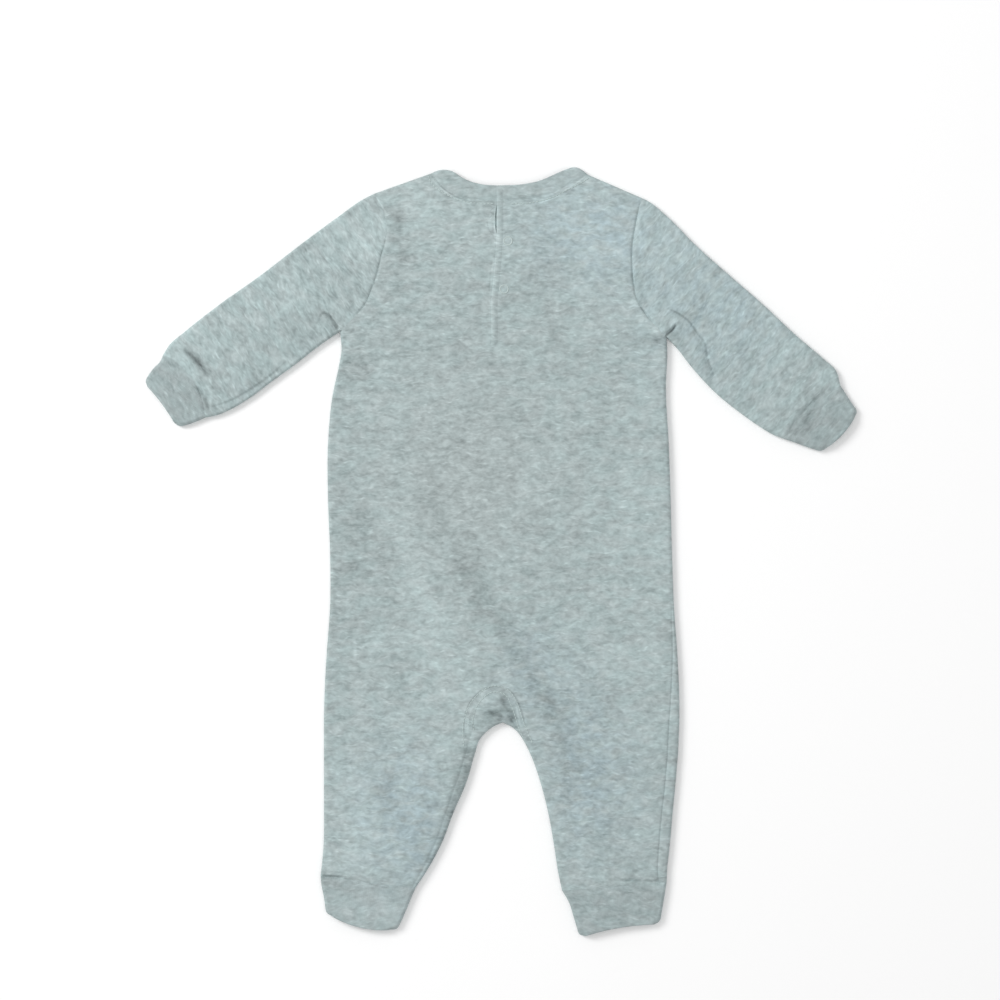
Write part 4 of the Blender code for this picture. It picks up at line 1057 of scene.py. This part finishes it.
# %% Two ring snaps
SNAPS = {"snap_upper": (4.9, 230.6), "snap_lower": (2, 195)}
RING_PROFILE = [(3.5, -0.4), (3.5, -0.02), (3.38, 0.09), (3.1, 0.15), (2.84, 0.12), (2.68, 0.02), (2.6, -0.06),
                (2.4, -0.05), (1.6, 0.03), (0.8, 0.06)]
RING_OUTSIDE = 2.55        # inside this radius the piece is pressed cloth
RING_SIDES = 48
RING_LIFT = 0.15


def ring_snap(name, place):
    """A ring with its pressed cloth, lathed and set on the back's cloth."""
    angles = np.linspace(0, 2 * math.pi, RING_SIDES, endpoint=False)
    level = float(on_top(np.array([place]))[0, 2]) + RING_LIFT
    points = [((place[0] + radius * math.cos(angle)) * MM, (place[1] + radius * math.sin(angle)) * MM,
               (level + lift) * MM) for radius, lift in RING_PROFILE for angle in angles]
    rings = np.arange(len(points)).reshape(-1, RING_SIDES)
    after = np.roll(rings, -1, axis=1)
    sides = np.stack([rings[:-1], after[:-1], after[1:], rings[1:]], axis=-1).reshape(-1, 4).tolist()
    mesh = bpy.data.meshes.new(name)
    mesh.from_pydata(points, [], sides + [rings[-1].tolist(), rings[0, ::-1].tolist()])
    mesh.shade_smooth()
    knit_map(mesh, ALONG_BODY)
    return add_object(name, mesh)


snaps = [ring_snap(name, place) for name, place in zip(("upper_ring_snap", "lower_ring_snap"), SNAPS.values())]
print("snaps:", len(snaps[0].data.polygons), "faces each")

# %% [markdown]
# ## Stitches
#
# A topstitch is a row of short thread loops that press into the cloth. A Geometry Nodes tree walks a line,
# drops one thread loop at each step and turns it along the line.

# %% Thread tree
STITCH = {"Pitch": 2.5 * MM, "Length": 2.4 * MM, "Width": 0.62 * MM}
NECK_STITCH = 3.2          # distance of the neck's topstitch below its seam
NECK_STITCH_START = 5      # its first row; it ends some rows before the opening
NECK_STITCH_GAPS = (2, 4)


def thread_tree():
    """Thread loops of a length and width along edges, one at each pitch."""
    tree, (mesh, pitch, length, width, finish) = size_tree("thread_row", "Pitch", "Length", "Width")
    curve = add_node(tree, "GeometryNodeMeshToCurve", None, {"Mesh": mesh})
    even = add_node(tree, "GeometryNodeResampleCurve", {"mode": "LENGTH"}, {"Curve": curve, "Length": pitch})
    loop = add_node(tree, "GeometryNodeMeshUVSphere", None, {"Segments": 8, "Rings": 6, "Radius": 0.5})
    smooth = add_node(tree, "GeometryNodeSetShadeSmooth", None, {"Geometry": loop})
    tangent = add_node(tree, "GeometryNodeInputTangent")
    turn = add_node(tree, "FunctionNodeAlignRotationToVector", {"axis": "X"}, {"Vector": tangent})
    size = add_node(tree, "ShaderNodeCombineXYZ", None, {"X": length, "Y": width, "Z": width})
    placed = add_node(tree, "GeometryNodeInstanceOnPoints", None,
                      {"Points": even, "Instance": smooth, "Rotation": turn, "Scale": size})
    return end_tree(tree, placed, finish)


def beside(line, distance):
    """A fine line beside another one, on the left of its run."""
    return line + square_to(line, -1) * distance


def stitch_path(name, lines, lift):
    """Edges that lie on the cloth, for the thread tree."""
    points, edges = [], []
    for line in lines:
        edges += [(len(points) + at, len(points) + at + 1) for at in range(len(line) - 1)]
        points += ((on_top(line) + (0, 0, lift)) * MM).tolist()
    mesh = bpy.data.meshes.new(name)
    mesh.from_pydata(points, edges, [])
    return add_object(name, mesh)


neck_stitches = [beside(half.back_inner[NECK_STITCH_START:half.neck_rows + 1], half.side * NECK_STITCH)[:-gap]
                 for half, gap in zip((LEFT, RIGHT), NECK_STITCH_GAPS)]
print("neck topstitch", round(sum(run_lengths(line)[-1] for line in neck_stitches)), "mm long")

# %% [markdown]
# ## Cloth in heather yarn
#
# Heather yarn is spun from fibres that were dyed light and dark before spinning, so each knitted row shows
# short pale and dark streaks. Three noises make it: long streaks, short streaks, and slow blotches from the
# dye lot. The noises are stretched along the knit's rows through the UV map, so they turn with each piece.

# %% A finish class
class Finish:
    """A material whose nodes are added by name."""

    def __init__(self, name, **constants):
        self.material = bpy.data.materials.new(name)
        self.material.use_nodes = True
        self.tree = self.material.node_tree
        self.paint(**constants)

    def node(self, kind, settings=None, values=None, out=0):
        return add_node(self.tree, kind, settings, values, out)

    def attribute(self, label):
        """A number that each vertex carries."""
        return self.node("ShaderNodeAttribute", {"attribute_name": label}, out=2)

    def mix(self, share, low, high, blend="MIX"):
        """A colour between two, or one laid over the other."""
        return self.node("ShaderNodeMix", {"data_type": "RGBA", "blend_type": blend}, {0: share, 6: low, 7: high}, 2)

    def bump(self, height, distance, strength):
        """The shading of small heights."""
        return self.node("ShaderNodeBump", None, {"Height": height, "Distance": distance, "Strength": strength})

    def noise(self, place, along_row, across_row, detail, shift):
        """Noise stretched along the knit's rows, about its mean. Cell sizes are in millimetres."""
        scaled = self.node("ShaderNodeVectorMath", {"operation": "MULTIPLY_ADD"},
                           {0: place, 1: (1000 / along_row, 1000 / across_row, 1), 2: (shift, shift, shift)})
        return self.node("ShaderNodeTexNoise", {"noise_dimensions": "3D"},
                         {"Vector": scaled, "Scale": 1, "Detail": detail, "Roughness": 0.55}) - 0.5

    def paint(self, **values):
        """Values for the shader's inputs by name, with _ for each space."""
        for label, value in values.items():
            feed(self.tree.nodes["Principled BSDF"].inputs[label.replace("_", " ")], value)
        return self.material


def shade(colour, amount):
    """A colour made lighter or darker."""
    return tuple(part * amount for part in colour) + (1,)


# %% The heather finish
BODY_COLOUR = (0.370, 0.442, 0.436)
SLEEVE_COLOUR = (0.371, 0.447, 0.441)
RIB_COLOUR = (0.340, 0.404, 0.400)
ROSY, WATERY = (1.018, 0.995, 1.013, 1), (0.982, 1.005, 1.023, 1)    # slow casts of the dye
BLUER, GREYER = (0.960, 1.007, 1.080, 1), (1.026, 0.982, 0.996, 1)   # where the blue attribute is above or below 0
Noise = namedtuple("Noise", "along_row across_row detail shift")     # the shifts keep the noises apart
SWAY, BLOTCH = table(Noise, [(14, 9, 1, 3.1), (34, 24, 1.5, 41.3)])
NOISES = table(Noise, [
    (8.2, 4.1, 2, 7.7), (3.6, 2, 1, 15.3),              # long and short streaks
    (6, 1.6, 0.5, 23.9), (5, 1.7, 0.5, 31.7),           # pale and dark flecks
    (16, 9, 1.5, 53.1), (1.1, 0.55, 2, 61.9), (10, 6, 1.5, 71.3),    # cast, nap, patches of blue
])
LINE_FALL = 0.45           # how fast a fine line fades on either side
SHADING_AND_TONE_SHARE = 0.25          # how much the painted light and shade of spots, strokes and fine lines counts beside the yarn's own streaks


def fine_line(finish, label):
    """A fine line of painted light and shade: its signed strength on the line, 0 away from it."""
    away = finish.attribute(label)
    near = (1 - away * away * LINE_FALL).held()
    return near * near * finish.attribute(label + "_tone")


def heather(name, colour, streak=1, blotch=1, fuzz=1):
    """Brushed heather cloth in a colour, with the strength of its streaks, blotches and fuzz."""
    finish = Finish(name, Roughness=0.92, Sheen_Weight=0.12, Sheen_Roughness=0.55, Specular_IOR_Level=0.2)
    flat = finish.node("ShaderNodeUVMap", {"uv_map": "knit"})
    lift = finish.node("ShaderNodeCombineXYZ", None, {"Y": finish.noise(flat, *SWAY) * 0.0055})
    place = finish.node("ShaderNodeVectorMath", {"operation": "ADD"}, {0: flat, 1: lift})
    long_streak, short_streak, pale, dark, cast, nap, patch = [finish.noise(place, *row) for row in NOISES]
    pale, dark = ((pale - 0.13) * 5).held(), ((dark - 0.15) * 5).held()
    # The vertex attributes bring in the painted light and shade of the spots, strokes and fine lines, and the bluer
    # patches.
    tone, blue = finish.attribute("tone"), finish.attribute("blue")
    lines = fine_line(finish, "line_one") + fine_line(finish, "line_two")

    amount = (long_streak * 0.75 + short_streak * 0.59 + pale * 0.28 - dark * 0.10) * streak
    amount = amount + finish.noise(flat, *BLOTCH) * 0.24 * blotch + (tone + lines) * SHADING_AND_TONE_SHARE
    body = finish.mix((0.5 + amount * 0.625).held(), shade(colour, 0.2), shade(colour, 1.8))
    tint = finish.mix((0.5 + cast * 3.6).held(), ROSY, WATERY)
    cool = finish.mix((blue * (1 + patch * 5)).held(), tint, BLUER)
    grey = finish.mix((0 - blue).held(), cool, GREYER)
    height = long_streak * 0.5 + short_streak * 0.35 + nap * 0.5 * fuzz + lines * 0.6
    return finish.paint(Base_Color=finish.mix(1, body, grey, "MULTIPLY"), Normal=finish.bump(height, 0.0004, 0.5))


body_heather = heather("body_heather", BODY_COLOUR)
sleeve_heather = heather("sleeve_heather", SLEEVE_COLOUR)
rib_heather = heather("rib_heather", RIB_COLOUR, streak=0.9, blotch=0.9, fuzz=0.7)
neck_heather = heather("neck_heather", BODY_COLOUR, streak=0.85, blotch=0.9, fuzz=0.7)
print("heather finishes:", neck_heather.name, body_heather.name, sleeve_heather.name, rib_heather.name)

# %% Thread and snap finishes
THREAD_COLOUR = (0.50, 0.59, 0.58)
LACQUER_COLOUR = (0.44, 0.52, 0.51)


def thread_finish(name, colour):
    """Twisted cotton thread: fine slanting twists on a matt colour."""
    finish = Finish(name, Roughness=0.7, Sheen_Weight=0.1)
    place = finish.node("ShaderNodeTexCoord", out=3)
    twist = finish.node("ShaderNodeTexWave", {"bands_direction": "DIAGONAL"}, {"Vector": place, "Scale": 1400})
    return finish.paint(Base_Color=finish.mix(twist, shade(colour, 0.9), shade(colour, 1.1)),
                        Normal=finish.bump(twist, 0.00005, 0.6))


def lacquer_finish(name, colour):
    """Thin lacquer on a pressed metal ring, a little worn."""
    finish = Finish(name, Metallic=0, Coat_Weight=0.2)
    place = finish.node("ShaderNodeTexCoord", out=3)
    wear = finish.node("ShaderNodeTexNoise", None, {"Vector": place, "Scale": 900, "Detail": 3})
    return finish.paint(Base_Color=finish.mix(wear, shade(colour, 0.88), shade(colour, 1.12)),
                        Roughness=wear * 0.3 + 0.3)


thread = thread_finish("matching_thread", THREAD_COLOUR)
lacquer = lacquer_finish("snap_lacquer", LACQUER_COLOUR)
print("finishes:", thread.name, lacquer.name)

# %% [markdown]
# ## Painted light and shade, slow changes of colour, and fine lines
#
# Light and shade are painted into the colour here. Raised places and lit sides are painted lighter, and creases,
# pockets, hollows and seams are painted darker as shade; a few broad patches are also made lighter, darker and
# bluer. Each vertex carries these as attributes, listed as soft spots and strokes.
#
# A stitched line or a sharp crease is finer than the mesh. For these, each vertex carries its signed distance
# to the line instead, and the finish paints the line from it: shade along a groove, a highlight along a lit
# edge. Two layers keep neighbouring lines apart.

# %% Spots and strokes
# A spot has its centre, its half widths across and along, and what it adds: its first amount lightens the colour
# where positive and darkens it where negative, and blue makes bluer. Many spots are painted light and shade: the
# strong dark ones in the right armpit and in the crotch hollow are painted shade, the long ones down the sides
# are painted shade on the left side and painted light on the right side, and the narrow light one at the opening
# is a painted highlight on the strip's fold. The rest lighten and darken broad patches.
Spot = namedtuple("Spot", "x y across along tone blue", defaults=(0,))
SPOTS = table(Spot, [
    (66, 238, 45, 35, 0.32, 0.55), (-118, 45, 24, 140, -0.26), (-25, 60, 65, 75, 0, -0.8), (108, -20, 20, 200, 0.42),
    (84, 170, 22, 30, 0.25), (84, -75, 22, 35, 0.25), (-42, -98, 30, 55, 0.4), (-100, -226, 28, 18, 0.32),
    (60, -140, 20, 50, -0.14, 0.25), (-102, 240, 18, 20, 0.28), (106, 197, 20, 12, -0.34), (111, 171, 12, 12, 0.5),
    (226, 94, 9, 9, -0.5), (-66, -190, 24, 45, 0, 0.35), (160, 185, 60, 55, 0.16, 0.4), (-55, 250, 22, 14, 0.18),
    (-253, 118, 22, 26, -0.22), (-88, -195, 30, 50, 0.12, 0.35), (-60, -215, 14, 30, 0, 0.4),
    (22, -85, 28, 40, 0, 0.35), (70, -175, 35, 55, 0.05, 0.4), (31, 214, 9, 22, -0.25), (-106, 14, 10, 36, -0.32),
    (-103, -183, 9, 34, 0.22), (29, -170, 5, 30, 0.15), (-100, -264, 50, 14, 0.62), (115.5, 157.5, 6.5, 4.4, -1.7),
    (-143, 153, 9, 9, -0.08, 0.1), (-177, 120.5, 30, 7, -0.2, 0.1), (-8.8, 243.5, 2.2, 6, 0.45),
    (-5.5, -122.5, 6.5, 4, -0.5), (12, 235, 9, 22, -0.05), (136, 226, 14, 14, 0.35), (58, 277, 13, 9, 0.5),
    (-75, 198, 12, 14, -0.35), (-104, 141, 12, 22, -0.34), (5, -96, 16, 14, 0.36), (-75, -229, 14, 12, 0.42),
    (111, -202, 12, 14, 0.5), (76, -202, 16, 14, -0.42), (-14, -111.5, 6.5, 4, 0.55), (129.5, 160.5, 7, 7, -0.75),
    (-4.4, 243, 0.9, 8, 1), (58, 197, 13, 13, 0.32), (85, 225, 13, 12, 0.3), (-101, 225, 13, 13, 0.35),
    (-22, 171, 14, 14, 0.2), (-130, 173, 13, 13, 0.26), (111, 131, 11, 24, 0.32), (111, 38, 10, 14, 0.3),
    (191, 171, 13, 13, 0.32), (243, 119, 12, 12, 0.22), (58, -95, 14, 14, -0.18), (-48, -160, 12, 24, 0.2),
    (150, 171, 18, 12, -0.28), (-82, 2, 22, 24, -0.2),
])

# Every stroke is painted light and shade: a negative amount paints shade along a crease, seam, fold or hollow,
# and a positive one paints a highlight along a ridge or a lit edge. Reaches are on the left and right of the
# line's run. Layer 0 is a broad stroke, 1 and 2 are fine lines.
Stroke = namedtuple("Stroke", "points tone left_reach right_reach tapers layer", defaults=((0.25, 0.25), 0))
STROKES = table(Stroke, [
    # Broad strokes
    ([(-35.5, 12.1), *DIAGONAL, (35, -112.7), (45.4, -133.6), (50, -166.4), (53, -194.1), (56, -218.8)], -0.64, 10,
     6.5, (0.1, 0.45)),
    ([(-98, 62), *SEAT_BAND], 0.36, 10, 12), ([(-79, -150), (-83, -183), (-76, -212)], -0.45, 7, 7),
    ([(-84, 259), (-77, 249), (-73.8, 238.8), (-72.4, 229), (-73, 215)], -0.75, 5.5, 5),
    (beside(INSEAM_LEFT[INSEAM_LEFT[:, 1] < -137], 2.4), -1.1, 4.6, 3, (0.06, 0.35)),
    (CRESCENT, -1.3, 1.6, 4.4, (0.4, 0.05)), (WEDGE, -1.1, 3.2, 3, (0.2, 0.2)),
    ([(237.9, 115.1), (230.5, 106.6), (225.2, 98.2), (221, 91.8), (217.8, 85.5)], -0.5, 4.5, 4.5, (0.3, 0.1)),
    ([(-213.8, 122.2), (-214.7, 117.6), (-214.7, 109.3)], 0.7, 2.4, 1.6),
    ([(-246.2, 150), (-234.1, 140.7), (-223, 129.6)], 0.25, 3, 3), (CUFF_LEFT_UPPER, -1.4, 3.4, 2, (0.35, 0.15)),
    (CUFF_LEFT_LOWER, -0.6, 1.6, 3, (0.3, 0.1)),
    ([(-2.3, 271.4), (-2.3, 262.2), (-2.5, 251.1), (-2.8, 240), (-2.5, 228.9), (-3.3, 220.3), (-5.2, 212.9), (-6, 203),
     (-6.7, 193.1), (-7.2, 184.5), (-7, 160), (-8, 140)], 0.45, 1.9, 1.9, (0.02, 0.4)),
    # Armpits and underarms
    ([(-132.6, 176.8), *HOOK], -2.1, 0.7, 2, (0.25, 0.15), 1),
    ([(-133.5, 178.2), (-130, 178.9), (-126.4, 177.4), (-123.8, 174.2)], 0.5, 0.8, 0.8, (0.3, 0.3), 2),
    ([(-132.2, 176.8), (-135, 171.2), (-138.9, 165.7), (-142.6, 160.1), (-146.3, 153.7)], -0.15, 1.3, 0.9, (0.2, 0.5),
     2),
    ([(129.4, 170.1), (128.7, 168), (127.1, 165.2), (124.8, 163.1), (122.3, 160.9), (121.1, 158.7), (120.1, 156.4)],
     -2.1, 0.9, 0.8, (0.15, 0.5), 1),
    ([(102.6, 182.8), (105.3, 179.1), (108.3, 175.9)], -1.2, 0.7, 0.7, (0.3, 0.3), 1),
    ([(108.3, 175.9), (110.9, 172.2), (114.1, 168.5)], -0.4, 0.6, 0.6, (0.2, 0.3), 2),
    ([(119.7, 183.4), (124.8, 180), (130.3, 177.5), (134.5, 174.9), (139.1, 170.8), (142.3, 166.6), (146, 161.5),
     (149.4, 157.4), (153.1, 142.6), (158.1, 130.2), (161, 125)], -1.1, 0.7, 0.9, (0.15, 0.25), 1),
    # Wrist seams
    ([(241.6, 124.1), (236.8, 118.2), (232.1, 113.5), (227.8, 108.2), (223.6, 103.4), (218.8, 97.1), (214.6, 90.8),
     (212, 86.5)], -0.25, 1, 1, (0.3, 0.2), 1),
    (CUFF_LEFT_UPPER, -0.7, 1.3, 0.9, (0.3, 0.35), 1), (CUFF_LEFT_LOWER, -0.75, 0.9, 1.5, (0.3, 0.1), 1),
    # Left armhole and shoulder
    ([(-86.1, 235.1), (-85.9, 231.4), (-88, 222.7), (-90.1, 215.3), (-92.3, 206.7), (-94.2, 198.1), (-96.2, 191.3),
     (-100.3, 184.5), (-104.6, 178.9)], -0.4, 0.8, 0.8, (0.12, 0.2), 1),
    ([(-93.5, 264), (-90.5, 259.7), (-87.4, 255), (-84.3, 249.9), (-82.7, 246.8)], 0.7, 0.7, 0.7, (0.2, 0.3), 1),
    ([(-95, 262.8), (-92.3, 258.5), (-89.2, 254.8)], -0.7, 0.6, 0.6, (0.2, 0.3), 2),
    # The opening
    ([(-4.5, 252), (-4.4, 249.9), (-4.5, 244.9), (-4.6, 240), (-4.7, 233.8)], 0.7, 1.6, 1, (0.1, 0.3), 1),
    ([(-9.4, 252.9), (-7.2, 251.7), (-5, 249.9)], -0.9, 0.7, 0.9, (0.4, 0.1), 2),
    ([(-11.1, 248.6), (-10.3, 243.7), (-9.1, 238.8), (-6.6, 235.1), (-5, 233.1)], -0.5, 0.6, 0.6, (0.4, 0.2), 2),
    ([(-6.6, 217.8), (-7.8, 207.9), (-8.7, 198.1), (-9.1, 189.4)], -0.5, 0.7, 0.7, (0.3, 0.3), 1),
    # The neck's seam and topstitch
    ([(-51.2, 277.6), (-48.7, 273.9), (-45.4, 270.7), (-41.3, 267), (-36.6, 263.7), (-31.6, 261.1), (-26, 259.1),
     (-20.5, 258.2), (-12.1, 258.5), (-5, 258.6)], 0.8, 0.6, 0.6, (0.05, 0.05), 1),
    ([(-51, 279.5), (-46.4, 273.4), (-41.7, 268.8), (-36.2, 265.1), (-29.7, 261.9), (-23.2, 259.9), (-14, 259.9),
     (-5, 260)], -0.7, 0.6, 0.6, (0.05, 0.5), 2),
    ([(17, 259.1), (22.1, 258.6), (26.7, 259.1), (33.2, 260.5), (40.6, 263.3), (48.9, 269.3), (55.4, 273.4),
     (62.8, 279)], 0.7, 0.6, 0.6, (0.3, 0.05), 1),
    ([(20, 261), (27, 261.2), (33, 262.6), (40, 265.2), (44.3, 269), (53.6, 277)], -0.35, 0.6, 0.6, (0.3, 0.1), 2),
    # The double arch at the crotch
    ([(-25.5, -141.4), (-27.1, -133.1), (-27.4, -125.7), (-26.5, -119.2), (-23.7, -111.8), (-19.5, -106.3),
     (-14.9, -102.1), (-9.4, -99.8), (-2, -99), (5.4, -101.2), (10.1, -106.3), (13.8, -113.7), (16.1, -121.1),
     (17.5, -127.5), (20.7, -134.9)], -0.85, 0.7, 0.7, (0.15, 0.15), 1),
    ([(-24.2, -136.8), (-24.6, -128.5), (-24, -121.1), (-21.4, -114.6), (-17.7, -109)], 0.7, 0.9, 0.9, (0.3, 0.3), 2),
    ([(7.8, -107.2), (11, -113.7), (12.4, -120.1), (14.2, -127.5), (16.5, -134.9)], 0.8, 0.9, 0.9, (0.3, 0.3), 2),
    ([(-20, -134), (-20.9, -124.8), (-19.5, -117)], -0.8, 0.6, 0.6, (0.3, 0.3), 1),
    # Left ankle seam
    ([(-131.8, -239.5), (-124.4, -239.8), (-115.7, -239.3)], -1, 0.8, 0.8, (0.1, 0.3), 1),
    ([(-112, -240), (-102.2, -242.9), (-92.3, -246.6), (-81.2, -248.7)], -0.5, 0.7, 0.7, (0.2, 0.2), 1),
])
print(len(SPOTS), "spots and", len(STROKES), "strokes")

# %% Attributes for the finish
FINE_LAYERS = ("line_one", "line_two")
FAR = 9                    # scaled distance of a place that no fine line is near
CLEAR = 4                  # a fine line's tone dies out this far from it, in millimetres
CLEAR_SOFTNESS = 2
FACING_UP = 2.5            # strokes are laid on what lies higher than this
HIDDEN_SHADE = 1.3          # painted shade: how much darker the hidden seams and creases are painted, for each millimetre of lift


def lay_stroke(values, flat, upper, stroke):
    """Add one stroke of painted light and shade to the attributes of the upper vertices near it."""
    near, away, scaled, strength = near_row(flat[upper], stroke, CLEAR)
    near, tone = upper[near], stroke.tone * strength
    if not stroke.layer:
        values["tone"][near] += tone * np.exp(-scaled**2)
        return
    label = FINE_LAYERS[stroke.layer - 1]
    tone = tone * soft_step((CLEAR - np.abs(away)) / CLEAR_SOFTNESS)
    first = (np.abs(away) < CLEAR) & (np.abs(scaled) < np.abs(values[label][near]))
    values[label][near[first]] = scaled[first]
    values[label + "_tone"][near[first]] = tone[first]


def mark(piece):
    """Painted light and shade, other light and dark patches, blue and fine lines of a piece, from the place of each
    vertex.
    """
    points = mesh_points(piece.data) / MM
    flat, up = points[:, :2], points[:, 2] > FACING_UP
    values = {label: np.zeros(len(flat)) for label in ("tone", "blue")}
    for label in FINE_LAYERS:
        values[label], values[label + "_tone"] = np.full(len(flat), float(FAR)), np.zeros(len(flat))
    for spot in SPOTS:
        weight = spread(flat, spot)
        values["tone"] += spot.tone * weight
        values["blue"] += spot.blue * weight
    # Painted shade along the hidden seams and creases of the side on the table, darker where they lift the cloth more.
    values["tone"][~up] -= HIDDEN_SHADE * hidden_lift(flat[~up])
    for stroke in STROKES:
        lay_stroke(values, flat, np.flatnonzero(up), stroke)
    for label, numbers in values.items():
        add_numbers(piece.data, label, numbers)


# %% [markdown]
# ## Putting the finishes on
#
# Each piece now gets its finish and hides the panel of the part that it stands for. The table also lists each
# piece's kind of cloth and how large its flat cut is, with widths round the tube where the piece is a tube, but
# nothing here reads these two columns.

# %% Finish and ride
def dress(piece, finish, nodes):
    """A finished piece: its finish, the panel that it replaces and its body."""
    piece.data.materials.clear()
    piece.data.materials.append(finish)
    if nodes:
        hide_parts(*nodes)
    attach(piece, "root")


for rib_piece in (*cuffs, neckband):
    apply_tree(rib_piece, ribs, {"Pitch": RIB_PITCH * MM, "Depth": RIB_DEPTH * MM, "Finish": rib_heather})

wrist_left, wrist_right, ankle_left, ankle_right = cuffs
CLOTH = [
    (back, body_heather, "back_panel", "body_cloth", (0.265, 0.532)),
    (front, body_heather, "front_panel", "body_cloth", (0.290, 0.530)),
    (sleeve_left, sleeve_heather, "sleeve_left", "sleeve_cloth", (0.212, 0.190)),
    (sleeve_right, sleeve_heather, "sleeve_right", "sleeve_cloth", (0.212, 0.195)),
    (wrist_left, rib_heather, "wrist_cuff_left", "rib", (0.114, 0.052)),
    (wrist_right, rib_heather, "wrist_cuff_right", "rib", (0.116, 0.054)),
    (ankle_left, rib_heather, "ankle_cuff_left", "rib", (0.143, 0.066)),
    (ankle_right, rib_heather, "ankle_cuff_right", "rib", (0.158, 0.070)),
    (neckband, neck_heather, "neckband", "rib", (0.305, 0.026)),
    (overlap, body_heather, "placket_overlap", "body_cloth", (0.0105, 0.118)),
    (underlap, body_heather, "placket_underlap", "body_cloth", (0.018, 0.122)),
]
for piece, finish, node, slot, cut in CLOTH:
    mark(piece)
    dress(piece, finish, [node])

for snap, (node, place) in zip(snaps, SNAPS.items()):
    mark(snap)
    dress(snap, lacquer, [node])
    snap.data.materials.append(body_heather)
    for polygon in snap.data.polygons:
        out = math.dist(polygon.center[:2], (place[0] * MM, place[1] * MM))
        polygon.material_index = 1 if out < RING_OUTSIDE * MM and polygon.normal.z > 0 else 0

threads = [stitch_path("neck_topstitch", neck_stitches, 0.2),
           stitch_path("crotch_topstitch", [seam_line(arch, 1) for arch in ARCHES], 0.02)]
stitches = thread_tree()
for row in threads:
    apply_tree(row, stitches, {**STITCH, "Finish": thread})
    dress(row, thread, [])
print("thread rows:", [len(row.data.polygons) for row in threads], "faces")
